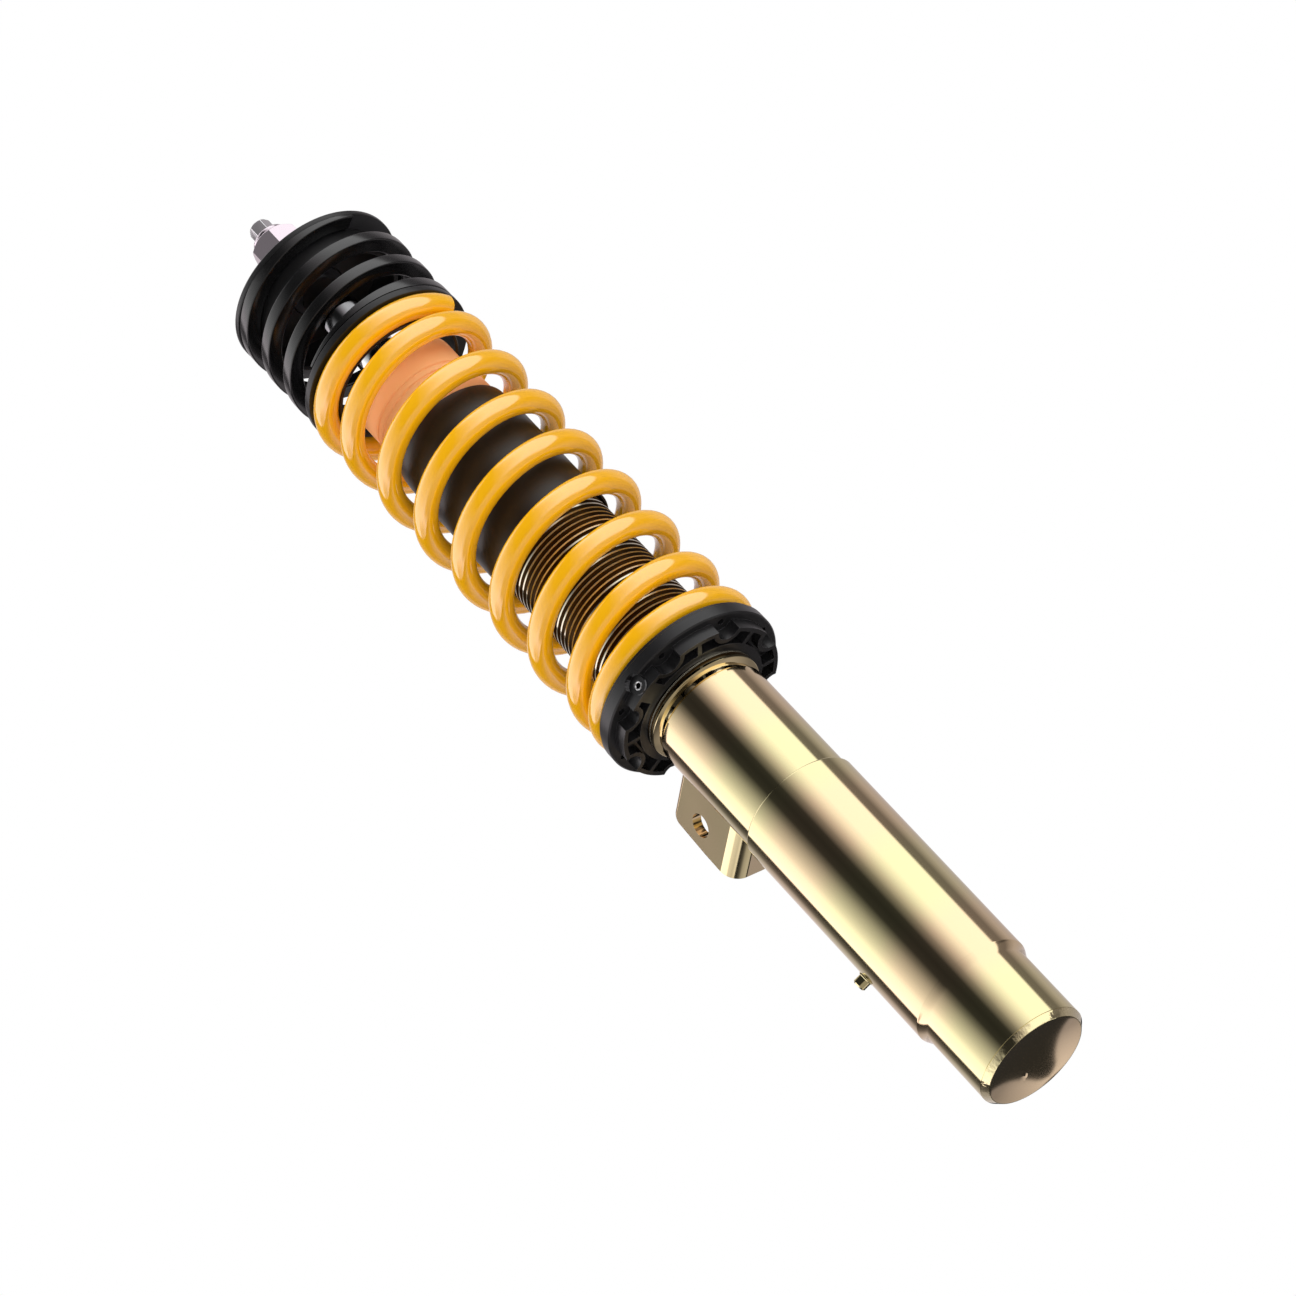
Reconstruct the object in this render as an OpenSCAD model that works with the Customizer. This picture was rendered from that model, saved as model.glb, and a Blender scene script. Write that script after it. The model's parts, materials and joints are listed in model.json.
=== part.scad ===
// Front strut coilover with a threaded spring collar and a helper spring.
// Origin: on the strut axis, at the height of the locating peg. +Z runs up to the top nut.

/* [Strut tube] */
// Radius of the body that the steering knuckle clamps
clamp_r = 27.5; // [27.3:0.1:27.7]
// Radius of the spigot below the clamped body
spigot_r = 25.4; // [24.8:0.1:26]
// Radius of the tube between the clamped body and the thread
tube_r = 26.2; // [25.8:0.1:26.6]
// Outer radius of the collar thread
thread_r = 27.4; // [27.2:0.05:27.45]
// Pitch of the collar thread
thread_pitch = 2.8; // [2:0.2:4]
// Depth of the collar thread
thread_depth = 0.9; // [0.4:0.1:1.2]
// Bore radius of the strut tube
bore_r = 23; // [22.5:0.1:23.2]
// Height of the strut's lower end
tube_foot_z = -78.3; // [-90:0.1:-70]
// Top of the clamped body
clamp_top_z = 76.6; // [70:0.1:80]
// Lower end of the collar thread
thread_foot_z = 141.9; // [141:0.1:142.4]
// Top of the strut tube
tube_top_z = 259.7; // [258:0.1:261]

/* [Link bracket] */
// Direction of the bracket, in degrees from +X
bracket_turn = 125.7; // [120:0.1:130]
// Distance of the bracket's outer face from the strut axis
bracket_face = 15; // [14:0.5:16]
// Reach of the bracket from the strut axis
bracket_reach = 52; // [48:0.5:56]
// Sheet thickness of the bracket
bracket_t = 4.5; // [3:0.5:6]
// Lower end of the bracket
bracket_foot_z = 91; // [88:0.5:94]
// Upper end of the bracket
bracket_top_z = 133.3; // [130:0.1:136]
// Radius of the hole for the anti-roll bar link
link_hole_r = 5.5; // [5:0.1:6.5]
// Distance of the link hole from the strut axis, along the bracket
link_hole_out = 40.1; // [38:0.1:42]
// Height of the link hole
link_hole_z = 116.1; // [114:0.1:118]

/* [Springs] */
// Wire radius of the main spring
wire_r = 5.45; // [5:0.05:5.6]
// Mean coil radius of the main spring
coil_r = 38.1; // [37.6:0.1:38.4]
// Pitch of the main spring's active coils
coil_pitch = 28.5; // [28:0.1:29]
// Outer radius of the flat-wire helper spring
helper_r = 42; // [41.5:0.1:42]
// Radial width of the helper spring's wire
helper_w = 7.5; // [7:0.1:7.8]
// Height of the helper spring's wire
helper_h = 6; // [5:0.1:6.4]
// Pitch of the helper spring
helper_pitch = 17.35; // [16.8:0.05:17.8]

/* [Collar] */
// Radius of the collar's flange
collar_r = 43.4; // [43:0.1:44]
// Radius of the collar's notched hub
hub_r = 39.7; // [39:0.1:40.5]
// Number of spanner notches
notch_n = 8; // [6:1:10]
// Radius of each spanner notch
notch_r = 5.5; // [4.5:0.1:6]

/* [Upper end] */
// Radius of the piston rod
rod_r = 10; // [9.5:0.5:11]
// Radius of the upper spring seat
seat_r = 42.1; // [42:0.1:43]
// Radius of the rod's threaded stud
stud_r = 7; // [6:0.5:7]
// Width of the top nut across its flats
nut_af = 22; // [21:1:24]
// Height of the rod's upper end
rod_top_z = 485.8; // [483:0.1:487]

/* [Bump stop and boot] */
// Radius of the bump stop
bump_r = 25.8; // [25:0.1:26.5]
// Top of the bump stop
bump_top_z = 369.7; // [366:0.1:372]
// Outer radius of the dust boot
boot_r = 29.4; // [29.2:0.1:30]
// Wall of the dust boot
boot_t = 1.3; // [1:0.1:1.3]
// Lower rim of the dust boot
boot_rim_z = 253.4; // [248:0.1:258]

/* [Hidden] */
$fn = 96;
cut = 1; // how far a cutting solid runs past the face that it opens

// Strut tube, from its foot up
foot_chamfer = 2.6;
foot_face_r = 23.2;
clamp_foot_z = -37.3;
clamp_shoulder = 4;
relief_r = 24.9;
relief_foot_z = 137.3;
thread_top_z = 257.5;
thread_run_in = 0.7; // plain lead below the thread's first crest
thread_crest = 0.25; // share of the pitch that the thread's crest takes

// Damper inside the tube
plug_top_z = -68;
cylinder_ri = 16;
cylinder_ro = 17.5;
cylinder_foot_z = -60;
guide_foot_z = 236;
guide_top_z = 252;
guide_plug_h = 6; // how far the rod guide reaches down into the inner cylinder
bush_r = 11.5;
seal_top_z = 257;
gland_r = 27.2;
gland_top_z = 265;
running_gap = 0.05;
lift_room = 11.5; // room above the rebound stop, which raising the collar takes up
piston_foot_z = 186;
piston_h = 16;
piston_r = 15.5;
piston_stud_r = 5;
shim_n = 3;
shim_t = 0.5;
piston_top_z = piston_foot_z + piston_h;
shim_stack = shim_n * shim_t;
piston_nut_h = 8;
rod_foot_z = piston_foot_z - shim_stack - piston_nut_h - 2;
rod_shoulder_z = piston_top_z + shim_stack;

// Collar
collar_foot_z = 151.45;
collar_seat_z = 157.84;
hub_foot_z = 145.6;
collar_bore_r = 27.5;
notch_turn = -88.5; // direction of the first notch, in degrees from +X
notch_step = 360 / notch_n;
boss_turn = notch_turn - notch_step / 2;
boss_z = 149.8;
boss_r = 3.9;
boss_reach = hub_r + 0.3;
pocket_depth = 4.4;
pin_hole_r = 1.6;
pin_hole_depth = 3;
spigot_foot_r = 31.8;
spigot_h = 8.2;
screw_r = 2.15;
key_af = 2;
key_depth = 2.2;
pad_reach = 32; // distance of the screw's inner end from the strut axis
slip_t = 1;
seat_z = collar_seat_z + slip_t; // what the main spring stands on

// Spacer between the springs
spacer_foot_z = 379.8;
spacer_t = 3.6;
spacer_top_z = spacer_foot_z + spacer_t;
gap = 0.3; // clearance between pieces that move apart

// Bump stop and boot
boot_top_z = 328.9;
boot_roof_t = 1.5;
boot_neck_r = 22;
bump_foot_z = 320.7;

// Upper spring seat
seat_foot_z = 437.1;
seat_t = 3.4;
seat_top_z = seat_foot_z + seat_t;
seat_cone_r = 24;
seat_spigot_h = 15;
washer_r = 12.6;
washer_t = 3;
washer_gap = 0.4; // clearance round the support washer in the seat
seat_boss_r = 20;
seat_boss_z = 450;
pivot_r = 9;
stud_foot_z = 437;
nut_flange_z = 460.2;
nut_flange_t = 2.8;
nut_hex_z = nut_flange_z + nut_flange_t;
nut_hex_h = 11.5;
nut_ring_h = 3;
stud_top_z = nut_hex_z + nut_hex_h + nut_ring_h + 1;
drive_af = 9.6;

// ---- shared shapes ----

function at(r, a, z) = [r * cos(a), r * sin(a), z];

// A closed tube through rings of points: every ring has the same number of points.
module skin(rings) {
    n = len(rings[0]);
    m = len(rings);
    points = [for (ring = rings) each ring];
    sides = [
        for (i = [0 : m - 2]) for (j = [0 : n - 1])
            let (a = i * n + j, b = i * n + (j + 1) % n, c = a + n, d = b + n)
                each [[a, c, b], [b, c, d]]
    ];
    foot = [for (j = [1 : n - 2]) [0, j, j + 1]];
    head = [for (j = [1 : n - 2]) [(m - 1) * n, (m - 1) * n + j + 1, (m - 1) * n + j]];
    polyhedron(points = points, faces = concat(sides, foot, head), convexity = 10);
}

module ring(r_out, r_in, z0, z1) {
    translate([0, 0, z0])
        difference() {
            cylinder(r = r_out, h = z1 - z0);
            translate([0, 0, -cut])
                cylinder(r = r_in, h = z1 - z0 + 2 * cut);
        }
}

module hexagon(af, z0, z1) {
    translate([0, 0, z0])
        cylinder(d = af / cos(30), h = z1 - z0, $fn = 6);
}

// ---- strut ----

// Thread profile as [radius, height] points, from the lowest crest to the highest.
function thread_profile(z0, z1) =
    let (turns = floor((z1 - z0) / thread_pitch), root = thread_r - thread_depth)
    [
        for (i = [0 : turns - 1])
            let (z = z0 + i * thread_pitch, c = thread_crest * thread_pitch)
                each [
                    [thread_r, z],
                    [thread_r, z + c],
                    [root, z + 0.5 * thread_pitch],
                    [root, z + 0.5 * thread_pitch + c]
                ],
        [thread_r, z0 + turns * thread_pitch]
    ];

module strut_tube() {
    outline = concat(
        [
            [spigot_r, tube_foot_z + foot_chamfer],
            [spigot_r, clamp_foot_z - clamp_shoulder],
            [clamp_r, clamp_foot_z],
            [clamp_r, clamp_top_z],
            [tube_r, clamp_top_z + clamp_shoulder],
            [tube_r, relief_foot_z],
            [relief_r, relief_foot_z + 1.3],
            [relief_r, thread_foot_z - 1.2],
            [thread_r, thread_foot_z]
        ],
        thread_profile(thread_foot_z + thread_run_in, thread_top_z),
        [
            [thread_r - 1, tube_top_z],
            [bore_r, tube_top_z],
            [bore_r, tube_foot_z + foot_chamfer]
        ]
    );
    color("darkkhaki")
        rotate_extrude()
            polygon(outline);
}

module base_cap() {
    dish_r = foot_face_r - 0.4;
    dish_depth = 2.6;
    dish_ball = (dish_r * dish_r + dish_depth * dish_depth) / (2 * dish_depth);
    mark_ball = 6; // ball of the punched mark, which sinks mark_depth into the dish
    mark_depth = 0.9;
    mark_at = [-6.8, 6.3];
    mark_z = tube_foot_z + dish_depth - dish_ball + sqrt(pow(dish_ball, 2) - pow(norm(mark_at), 2));
    color("darkkhaki")
        difference() {
            rotate_extrude()
                polygon([
                    [0, tube_foot_z],
                    [foot_face_r, tube_foot_z],
                    [spigot_r, tube_foot_z + foot_chamfer],
                    [bore_r, tube_foot_z + foot_chamfer],
                    [bore_r, plug_top_z],
                    [0, plug_top_z]
                ]);
            translate([0, 0, tube_foot_z + dish_depth - dish_ball])
                sphere(r = dish_ball);
            translate([mark_at[0], mark_at[1], mark_z + mark_depth - mark_ball])
                sphere(r = mark_ball);
        }
}

// L-shaped sheet bracket: an upright web with the link hole and a bent lower flange.
module link_bracket() {
    bend_r = 8;
    flange_reach = 26; // from the outer face back round the tube
    corner_r = 5;
    height = bracket_top_z - bracket_foot_z;
    color("darkkhaki")
        rotate([0, 0, bracket_turn])
            difference() {
                intersection() {
                    // the bent sheet, as its end view carried along the bracket
                    rotate([90, 0, 90])
                        linear_extrude(bracket_reach)
                            difference() {
                                bent_sheet(bracket_face, flange_reach, bend_r, bracket_top_z);
                                bent_sheet(bracket_face - bracket_t, flange_reach, bend_r - bracket_t,
                                           bracket_top_z + cut, bracket_t);
                            }
                    // the web's outline, with its rounded upper corner
                    translate([0, bracket_face + cut, 0])
                        rotate([90, 0, 0])
                            linear_extrude(flange_reach + 2 * cut)
                                union() {
                                    translate([0, bracket_foot_z])
                                        square([bracket_reach, height - corner_r]);
                                    translate([0, bracket_foot_z])
                                        square([bracket_reach - corner_r, height]);
                                    translate([bracket_reach - corner_r, bracket_top_z - corner_r])
                                        circle(r = corner_r);
                                }
                    // the lower flange's outline, with its rounded far corner
                    translate([0, 0, bracket_foot_z - cut])
                        linear_extrude(height + 2 * cut)
                            union() {
                                translate([0, bracket_face - flange_reach + 2 * corner_r])
                                    square([bracket_reach, flange_reach]);
                                translate([0, bracket_face - flange_reach])
                                    square([bracket_reach - 2 * corner_r, flange_reach]);
                                translate([bracket_reach - 2 * corner_r,
                                           bracket_face - flange_reach + 2 * corner_r])
                                    circle(r = 2 * corner_r);
                            }
                }
                translate([0, 0, bracket_foot_z - cut])
                    cylinder(r = tube_r, h = height + 2 * cut);
                translate([link_hole_out, bracket_face + cut, link_hole_z])
                    rotate([90, 0, 0])
                        cylinder(r = link_hole_r, h = bracket_t + 2 * cut);
            }
}

// End view of a solid corner piece: the upright face at y = face, the foot at bracket_foot_z + lift.
module bent_sheet(face, reach, bend, top, lift = 0) {
    foot = bracket_foot_z + lift;
    back = bracket_face - reach - (lift > 0 ? cut : 0);
    translate([back, foot])
        square([face - back - bend, top - foot]);
    translate([face - bend - 1, foot + bend])
        square([bend + 1, top - foot - bend]);
    translate([face - bend, foot + bend])
        circle(r = bend);
}

module locating_peg() {
    peg_r = 2.95;
    peg_reach = 32;
    root_r = 3.6;
    root_reach = 27.9; // the root stands just proud of the clamped body
    chamfer = 0.6;
    color("darkkhaki")
        difference() {
            rotate([0, 0, 176])
                rotate([0, 90, 0])
                    rotate_extrude()
                        polygon([
                            [0, 20],
                            [root_r, 20],
                            [root_r, root_reach],
                            [peg_r, root_reach],
                            [peg_r, peg_reach - chamfer],
                            [peg_r - chamfer, peg_reach],
                            [0, peg_reach]
                        ]);
            translate([0, 0, -2 * root_r])
                cylinder(r = clamp_r, h = 4 * root_r);
        }
}

// ---- damper ----

module inner_cylinder() {
    color("lightsteelblue")
        ring(cylinder_ro, cylinder_ri, cylinder_foot_z, guide_foot_z);
}

module base_valve() {
    foot_slot = 5;
    port_n = 6;
    port_r = 1.4;
    color("slategray")
        difference() {
            union() {
                translate([0, 0, plug_top_z])
                    cylinder(r = cylinder_ro, h = cylinder_foot_z - plug_top_z);
                translate([0, 0, cylinder_foot_z])
                    cylinder(r = cylinder_ri, h = 8);
            }
            translate([0, 0, plug_top_z - cut])
                cylinder(r = 13, h = 5 + cut);
            for (i = [0 : 1])
                rotate([0, 0, 90 * i])
                    translate([-cylinder_ro - cut, -foot_slot / 2, plug_top_z - cut])
                        cube([2 * (cylinder_ro + cut), foot_slot, 4 + cut]);
            for (i = [0 : port_n - 1])
                rotate([0, 0, i * 360 / port_n])
                    translate([9, 0, plug_top_z])
                        cylinder(r = port_r, h = 30);
        }
}

module rod_guide() {
    color("gray")
        difference() {
            union() {
                translate([0, 0, guide_foot_z - guide_plug_h])
                    cylinder(r = cylinder_ri, h = guide_plug_h);
                translate([0, 0, guide_foot_z])
                    cylinder(r = bore_r, h = guide_top_z - guide_foot_z);
            }
            translate([0, 0, guide_foot_z - guide_plug_h - cut])
                cylinder(r = bush_r, h = guide_plug_h + guide_top_z - guide_foot_z + 2 * cut);
            for (i = [0 : 3])
                rotate([0, 0, 90 * i])
                    translate([20, 0, guide_foot_z - cut])
                        cylinder(r = 1.2, h = 30);
        }
}

module guide_bush() {
    color("goldenrod")
        ring(bush_r, rod_r + running_gap, guide_foot_z - 4, guide_top_z);
}

module rod_seal() {
    lip = 1.6;
    color("dimgray")
        rotate_extrude()
            polygon([
                [rod_r + running_gap, guide_top_z],
                [bore_r, guide_top_z],
                [bore_r, seal_top_z],
                [rod_r + 3 * lip, seal_top_z],
                [rod_r + lip, guide_top_z + 2 * lip],
                [rod_r + running_gap, guide_top_z + 2 * lip]
            ]);
}

module gland_cap() {
    round_r = 2.5;
    color("darkkhaki")
        rotate_extrude()
            difference() {
                union() {
                    translate([rod_r + 1, seal_top_z])
                        square([bore_r - rod_r - 1, tube_top_z - seal_top_z + 1]);
                    translate([rod_r + 1, tube_top_z])
                        square([gland_r - rod_r - 1, gland_top_z - tube_top_z - round_r]);
                    translate([rod_r + 1, tube_top_z])
                        square([gland_r - rod_r - 1 - round_r, gland_top_z - tube_top_z]);
                    translate([gland_r - round_r, gland_top_z - round_r])
                        circle(r = round_r);
                }
                translate([rod_r + 1, gland_top_z - 1])
                    square([5, 2]);
            }
}

// ---- springs ----

// Height of a coil that rises at a steady pitch between two flat ends, blended over blend degrees
// each side of where the slope would meet the end.
function eased(a, a0, slope, flat, blend) =
    let (s = a - (a0 - blend))
    s <= 0 ? flat : s >= 2 * blend ? flat + slope * (a - a0) : flat + slope * s * s / (4 * blend);

main_foot = seat_z + wire_r; // height of the wire's centre on the seat
main_head = spacer_foot_z - gap - wire_r;
main_slope = coil_pitch / 360;
main_blend = 200;
main_a0 = 6; // where the slope leaves the foot, in degrees from +X
main_tip_a = -208;
main_rise = (main_head - main_foot) / main_slope; // degrees from foot to head
main_tip_b = main_a0 + main_rise + main_blend + 17;
main_rings_per_turn = 24;
main_sides = 8;

// The foot's easing and its mirror image at the head meet in the middle of the spring.
function main_z(a) =
    a < main_a0 + main_rise / 2
        ? eased(a, main_a0, main_slope, main_foot, main_blend)
        : main_head - (eased(2 * main_a0 + main_rise - a, main_a0, main_slope, main_foot, main_blend)
                       - main_foot);

main_steps = round((main_tip_b - main_tip_a) / 360 * main_rings_per_turn);
main_angles = [for (i = [0 : main_steps]) main_tip_a + (main_tip_b - main_tip_a) * i / main_steps];
main_rings = [
    for (a = main_angles)
        let (
            climb = atan((main_z(a + 1) - main_z(a - 1)) / (2 * coil_r * PI / 180)),
            out = [cos(a), sin(a), 0],
            up = [sin(a) * sin(climb), -cos(a) * sin(climb), cos(climb)]
        )
            [
                for (j = [0 : main_sides - 1])
                    let (s = 360 * j / main_sides)
                        at(coil_r, a, main_z(a)) + wire_r * (cos(s) * out + sin(s) * up)
            ]
];
main_gap = min([
    for (a = main_angles)
        if (a + 360 <= main_tip_b)
            main_z(a + 360) - main_z(a) - 2 * wire_r
]);
echo(str("main_spring turns ", (main_tip_b - main_tip_a) / 360, ", least gap ", main_gap, " mm"));

module main_spring() {
    color("gold")
        skin(main_rings);
}

// Flat-wire helper spring, its end coils ground flat.
helper_foot = spacer_top_z + gap;
helper_head = seat_foot_z;
helper_mid = (helper_foot + helper_head) / 2;
helper_turns = 3.25;
helper_mid_a = -261; // direction of the wire at the spring's mid height, in degrees from +X
helper_steps = round(helper_turns * main_rings_per_turn);
helper_rings = [
    for (i = [0 : helper_steps])
        let (
            a = helper_mid_a + 360 * helper_turns * (i / helper_steps - 0.5),
            z = helper_mid + helper_pitch * helper_turns * (i / helper_steps - 0.5),
            low = max(z - helper_h / 2, helper_foot),
            high = min(z + helper_h / 2, helper_head)
        )
            [
                at(helper_r - helper_w, a, low),
                at(helper_r, a, low),
                at(helper_r, a, high),
                at(helper_r - helper_w, a, high)
            ]
];
echo(str("helper_spring turns ", helper_turns, ", least gap ", helper_pitch - helper_h, " mm"));

module helper_spring() {
    color([0.12, 0.12, 0.13])
        skin(helper_rings);
}

module slip_ring() {
    color([0.2, 0.2, 0.21])
        ring(42.6, 32.2, collar_seat_z, seat_z);
}

// ---- collar ----

// Outline of the notched hub, drawn in by inset.
module hub_outline(inset) {
    difference() {
        circle(r = hub_r - inset);
        for (i = [0 : notch_n - 1])
            rotate(notch_turn + i * notch_step)
                translate([hub_r + 0.2, 0])
                    circle(r = notch_r + inset);
    }
}

// The cored pockets of the hub: one each side of the rib in the middle of every lobe.
module hub_pockets() {
    wall = 2;
    core_r = 31.4;
    difference() {
        hub_outline(wall);
        circle(r = core_r);
        for (i = [0 : notch_n - 1])
            rotate(boss_turn + i * notch_step)
                translate([0, -wall / 2])
                    square([hub_r, wall]);
        rotate(boss_turn)
            translate([0, -5])
                square([hub_r, 10]);
    }
}

// The collar before its thread bore is cut: flange, notched hub and the spring's centring spigot.
module collar_blank() {
    difference() {
        union() {
            rotate_extrude()
                polygon([
                    [collar_bore_r - cut, collar_foot_z],
                    [collar_r - 0.6, collar_foot_z],
                    [collar_r, collar_foot_z + 0.6],
                    [collar_r, collar_seat_z - 0.8],
                    [collar_r - 0.8, collar_seat_z],
                    [collar_bore_r - cut, collar_seat_z]
                ]);
            translate([0, 0, hub_foot_z])
                linear_extrude(collar_foot_z - hub_foot_z)
                    hub_outline(0);
            translate([0, 0, collar_seat_z])
                cylinder(r1 = spigot_foot_r, r2 = spigot_foot_r - 0.8, h = spigot_h);
        }
        translate([0, 0, hub_foot_z - cut])
            linear_extrude(pocket_depth + cut)
                hub_pockets();
        // the arch in the flange that clears the clamp screw's key
        rotate([0, 0, boss_turn])
            translate([boss_reach, 0, boss_z])
                rotate([0, 90, 0])
                    cylinder(r = boss_r + 0.8, h = collar_r);
        // a blind locating hole in the flange over each notch
        for (i = [0 : notch_n - 1])
            rotate([0, 0, notch_turn + i * notch_step])
                translate([hub_r - 0.6, 0, collar_foot_z - cut])
                    cylinder(r = pin_hole_r, h = pin_hole_depth + cut);
    }
}

module adjuster_collar() {
    height = spigot_h + collar_seat_z - hub_foot_z;
    color([0.16, 0.16, 0.17])
        difference() {
            union() {
                collar_blank();
                rotate([0, 0, boss_turn])
                    translate([0, 0, boss_z])
                        rotate([0, 90, 0])
                            cylinder(r = boss_r, h = boss_reach + 0.6);
            }
            // the bore that runs on the strut's thread
            translate([0, 0, hub_foot_z - boss_r])
                cylinder(r = collar_bore_r, h = height + boss_r + cut);
            // the boss ends level with the hub's foot
            translate([0, 0, hub_foot_z - boss_r])
                cylinder(r = collar_r, h = boss_r);
            rotate([0, 0, boss_turn])
                translate([0, 0, boss_z])
                    rotate([0, 90, 0])
                        cylinder(r = screw_r + running_gap, h = collar_r);
        }
}

module clamp_screw() {
    length = boss_reach + 0.4 - pad_reach;
    color("silver")
        rotate([0, 0, boss_turn])
            translate([pad_reach, 0, boss_z])
                rotate([0, 90, 0])
                    difference() {
                        cylinder(r = screw_r, h = length);
                        translate([0, 0, length - key_depth])
                            cylinder(d = key_af / cos(30), h = key_depth + cut, $fn = 6);
                    }
}

module clamp_pad() {
    color("peru")
        rotate([0, 0, boss_turn])
            translate([collar_bore_r + gap, 0, boss_z])
                rotate([0, 90, 0])
                    cylinder(r = screw_r - running_gap, h = pad_reach - collar_bore_r - gap);
}

// ---- spacer and upper seat ----

module spring_spacer() {
    sleeve_ri = 29.75;
    color([0.16, 0.16, 0.17])
        rotate_extrude()
            polygon([
                [sleeve_ri, spacer_foot_z - 8.4],
                [31.3, spacer_foot_z - 8.4],
                [31.8, spacer_foot_z - 2],
                [31.8, spacer_foot_z],
                [helper_r - 0.4, spacer_foot_z],
                [helper_r + 0.1, spacer_foot_z + 0.5],
                [helper_r + 0.1, spacer_top_z - 0.5],
                [helper_r - 0.4, spacer_top_z],
                [33.8, spacer_top_z],
                [33.8, spacer_top_z + 6],
                [33, spacer_top_z + 9],
                [sleeve_ri, spacer_top_z + 9]
            ]);
}

module upper_spring_seat() {
    color([0.14, 0.14, 0.15])
        rotate_extrude()
            polygon([
                [washer_r + washer_gap, seat_foot_z],
                [31, seat_foot_z],
                [31, seat_foot_z - seat_spigot_h + 0.5],
                [31.5, seat_foot_z - seat_spigot_h],
                [33, seat_foot_z - seat_spigot_h],
                [33.8, seat_foot_z - seat_spigot_h + 3],
                [33.8, seat_foot_z],
                [seat_r - 0.5, seat_foot_z],
                [seat_r, seat_foot_z + 0.5],
                [seat_r, seat_top_z - 0.8],
                [seat_r - 0.8, seat_top_z],
                [seat_cone_r, seat_top_z],
                [seat_boss_r, seat_top_z + 3],
                [seat_boss_r, seat_boss_z - 1],
                [seat_boss_r - 1, seat_boss_z],
                [pivot_r + running_gap, seat_boss_z],
                [pivot_r + running_gap, stud_foot_z + washer_t + gap],
                [washer_r + washer_gap, stud_foot_z + washer_t + gap]
            ]);
}

// ---- piston rod and what it carries ----

module piston_rod() {
    drive_end_r = 4.6; // the end of the drive is coned down to this radius
    color("gainsboro")
        union() {
            rotate_extrude()
                polygon([
                    [0, rod_foot_z],
                    [piston_stud_r - 0.8, rod_foot_z],
                    [piston_stud_r, rod_foot_z + 0.8],
                    [piston_stud_r, rod_shoulder_z],
                    [rod_r - 0.5, rod_shoulder_z],
                    [rod_r, rod_shoulder_z + 0.5],
                    [rod_r, stud_foot_z - 0.5],
                    [rod_r - 0.5, stud_foot_z],
                    [stud_r, stud_foot_z],
                    [stud_r, stud_top_z - 0.9],
                    [stud_r - 0.9, stud_top_z],
                    [0, stud_top_z]
                ]);
            intersection() {
                hexagon(drive_af, stud_top_z - cut, rod_top_z);
                translate([0, 0, stud_top_z - cut])
                    cylinder(r1 = 14, r2 = drive_end_r, h = rod_top_z - stud_top_z + cut);
            }
        }
}

module piston() {
    port_n = 8;
    port_r = 1.5;
    color("slategray")
        difference() {
            rotate_extrude()
                polygon([
                    [piston_stud_r, piston_foot_z],
                    [piston_r, piston_foot_z],
                    [piston_r, piston_foot_z + 4],
                    [piston_r - 1.5, piston_foot_z + 4],
                    [piston_r - 1.5, piston_top_z - 4],
                    [piston_r, piston_top_z - 4],
                    [piston_r, piston_top_z],
                    [piston_stud_r, piston_top_z]
                ]);
            for (i = [0 : port_n - 1])
                rotate([0, 0, i * 360 / port_n])
                    translate([10, 0, piston_foot_z - cut])
                        cylinder(r = port_r, h = piston_h + 2 * cut);
        }
}

module piston_band() {
    color([0.3, 0.24, 0.2])
        ring(cylinder_ri - running_gap, piston_r - 1.5, piston_foot_z + 4, piston_top_z - 4);
}

// A stack of valve shims that gets narrower away from the piston; side is 1 upwards, -1 downwards.
module shims(z, side) {
    color("silver")
        for (i = [0 : shim_n - 1])
            translate([0, 0, side > 0 ? z + i * shim_t : z - (i + 1) * shim_t])
                difference() {
                    cylinder(r = 13 - 1.8 * i, h = shim_t);
                    translate([0, 0, -cut])
                        cylinder(r = piston_stud_r, h = shim_t + 2 * cut);
                }
}

module rebound_shims() {
    shims(piston_foot_z, -1);
}

module compression_shims() {
    shims(piston_top_z, 1);
}

module piston_nut() {
    z = piston_foot_z - shim_stack - piston_nut_h;
    color("silver")
        difference() {
            hexagon(16, z, z + piston_nut_h);
            translate([0, 0, z - cut])
                cylinder(r = piston_stud_r, h = piston_nut_h + 2 * cut);
        }
}

module rebound_stop() {
    top_z = guide_foot_z - guide_plug_h - lift_room;
    color("dimgray")
        ring(14.5, rod_r, top_z - 7, top_z);
}

module bump_stop() {
    groove_hi = 349.7;
    groove_lo = 346;
    groove_r = bump_r - 1.2;
    color("sandybrown")
        rotate_extrude()
            polygon([
                [rod_r, bump_foot_z],
                [14, bump_foot_z],
                [16.5, bump_foot_z + 2],
                [boot_neck_r + 1.5, boot_top_z - boot_roof_t - 1.5],
                [boot_neck_r + 1.5, boot_top_z - boot_roof_t],
                [boot_neck_r, boot_top_z - boot_roof_t],
                [boot_neck_r, boot_top_z],
                [bump_r + 0.6, boot_top_z],
                [bump_r + 1.1, boot_top_z + 1.5],
                [bump_r + 0.7, groove_lo - 2],
                [bump_r, groove_lo - 0.6],
                [groove_r, groove_lo + 0.8],
                [groove_r, groove_hi - 0.8],
                [bump_r, groove_hi + 0.6],
                [bump_r, bump_top_z - 2.4],
                [bump_r - 0.7, bump_top_z - 0.7],
                [bump_r - 2.4, bump_top_z],
                [rod_r, bump_top_z]
            ]);
}

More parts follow.
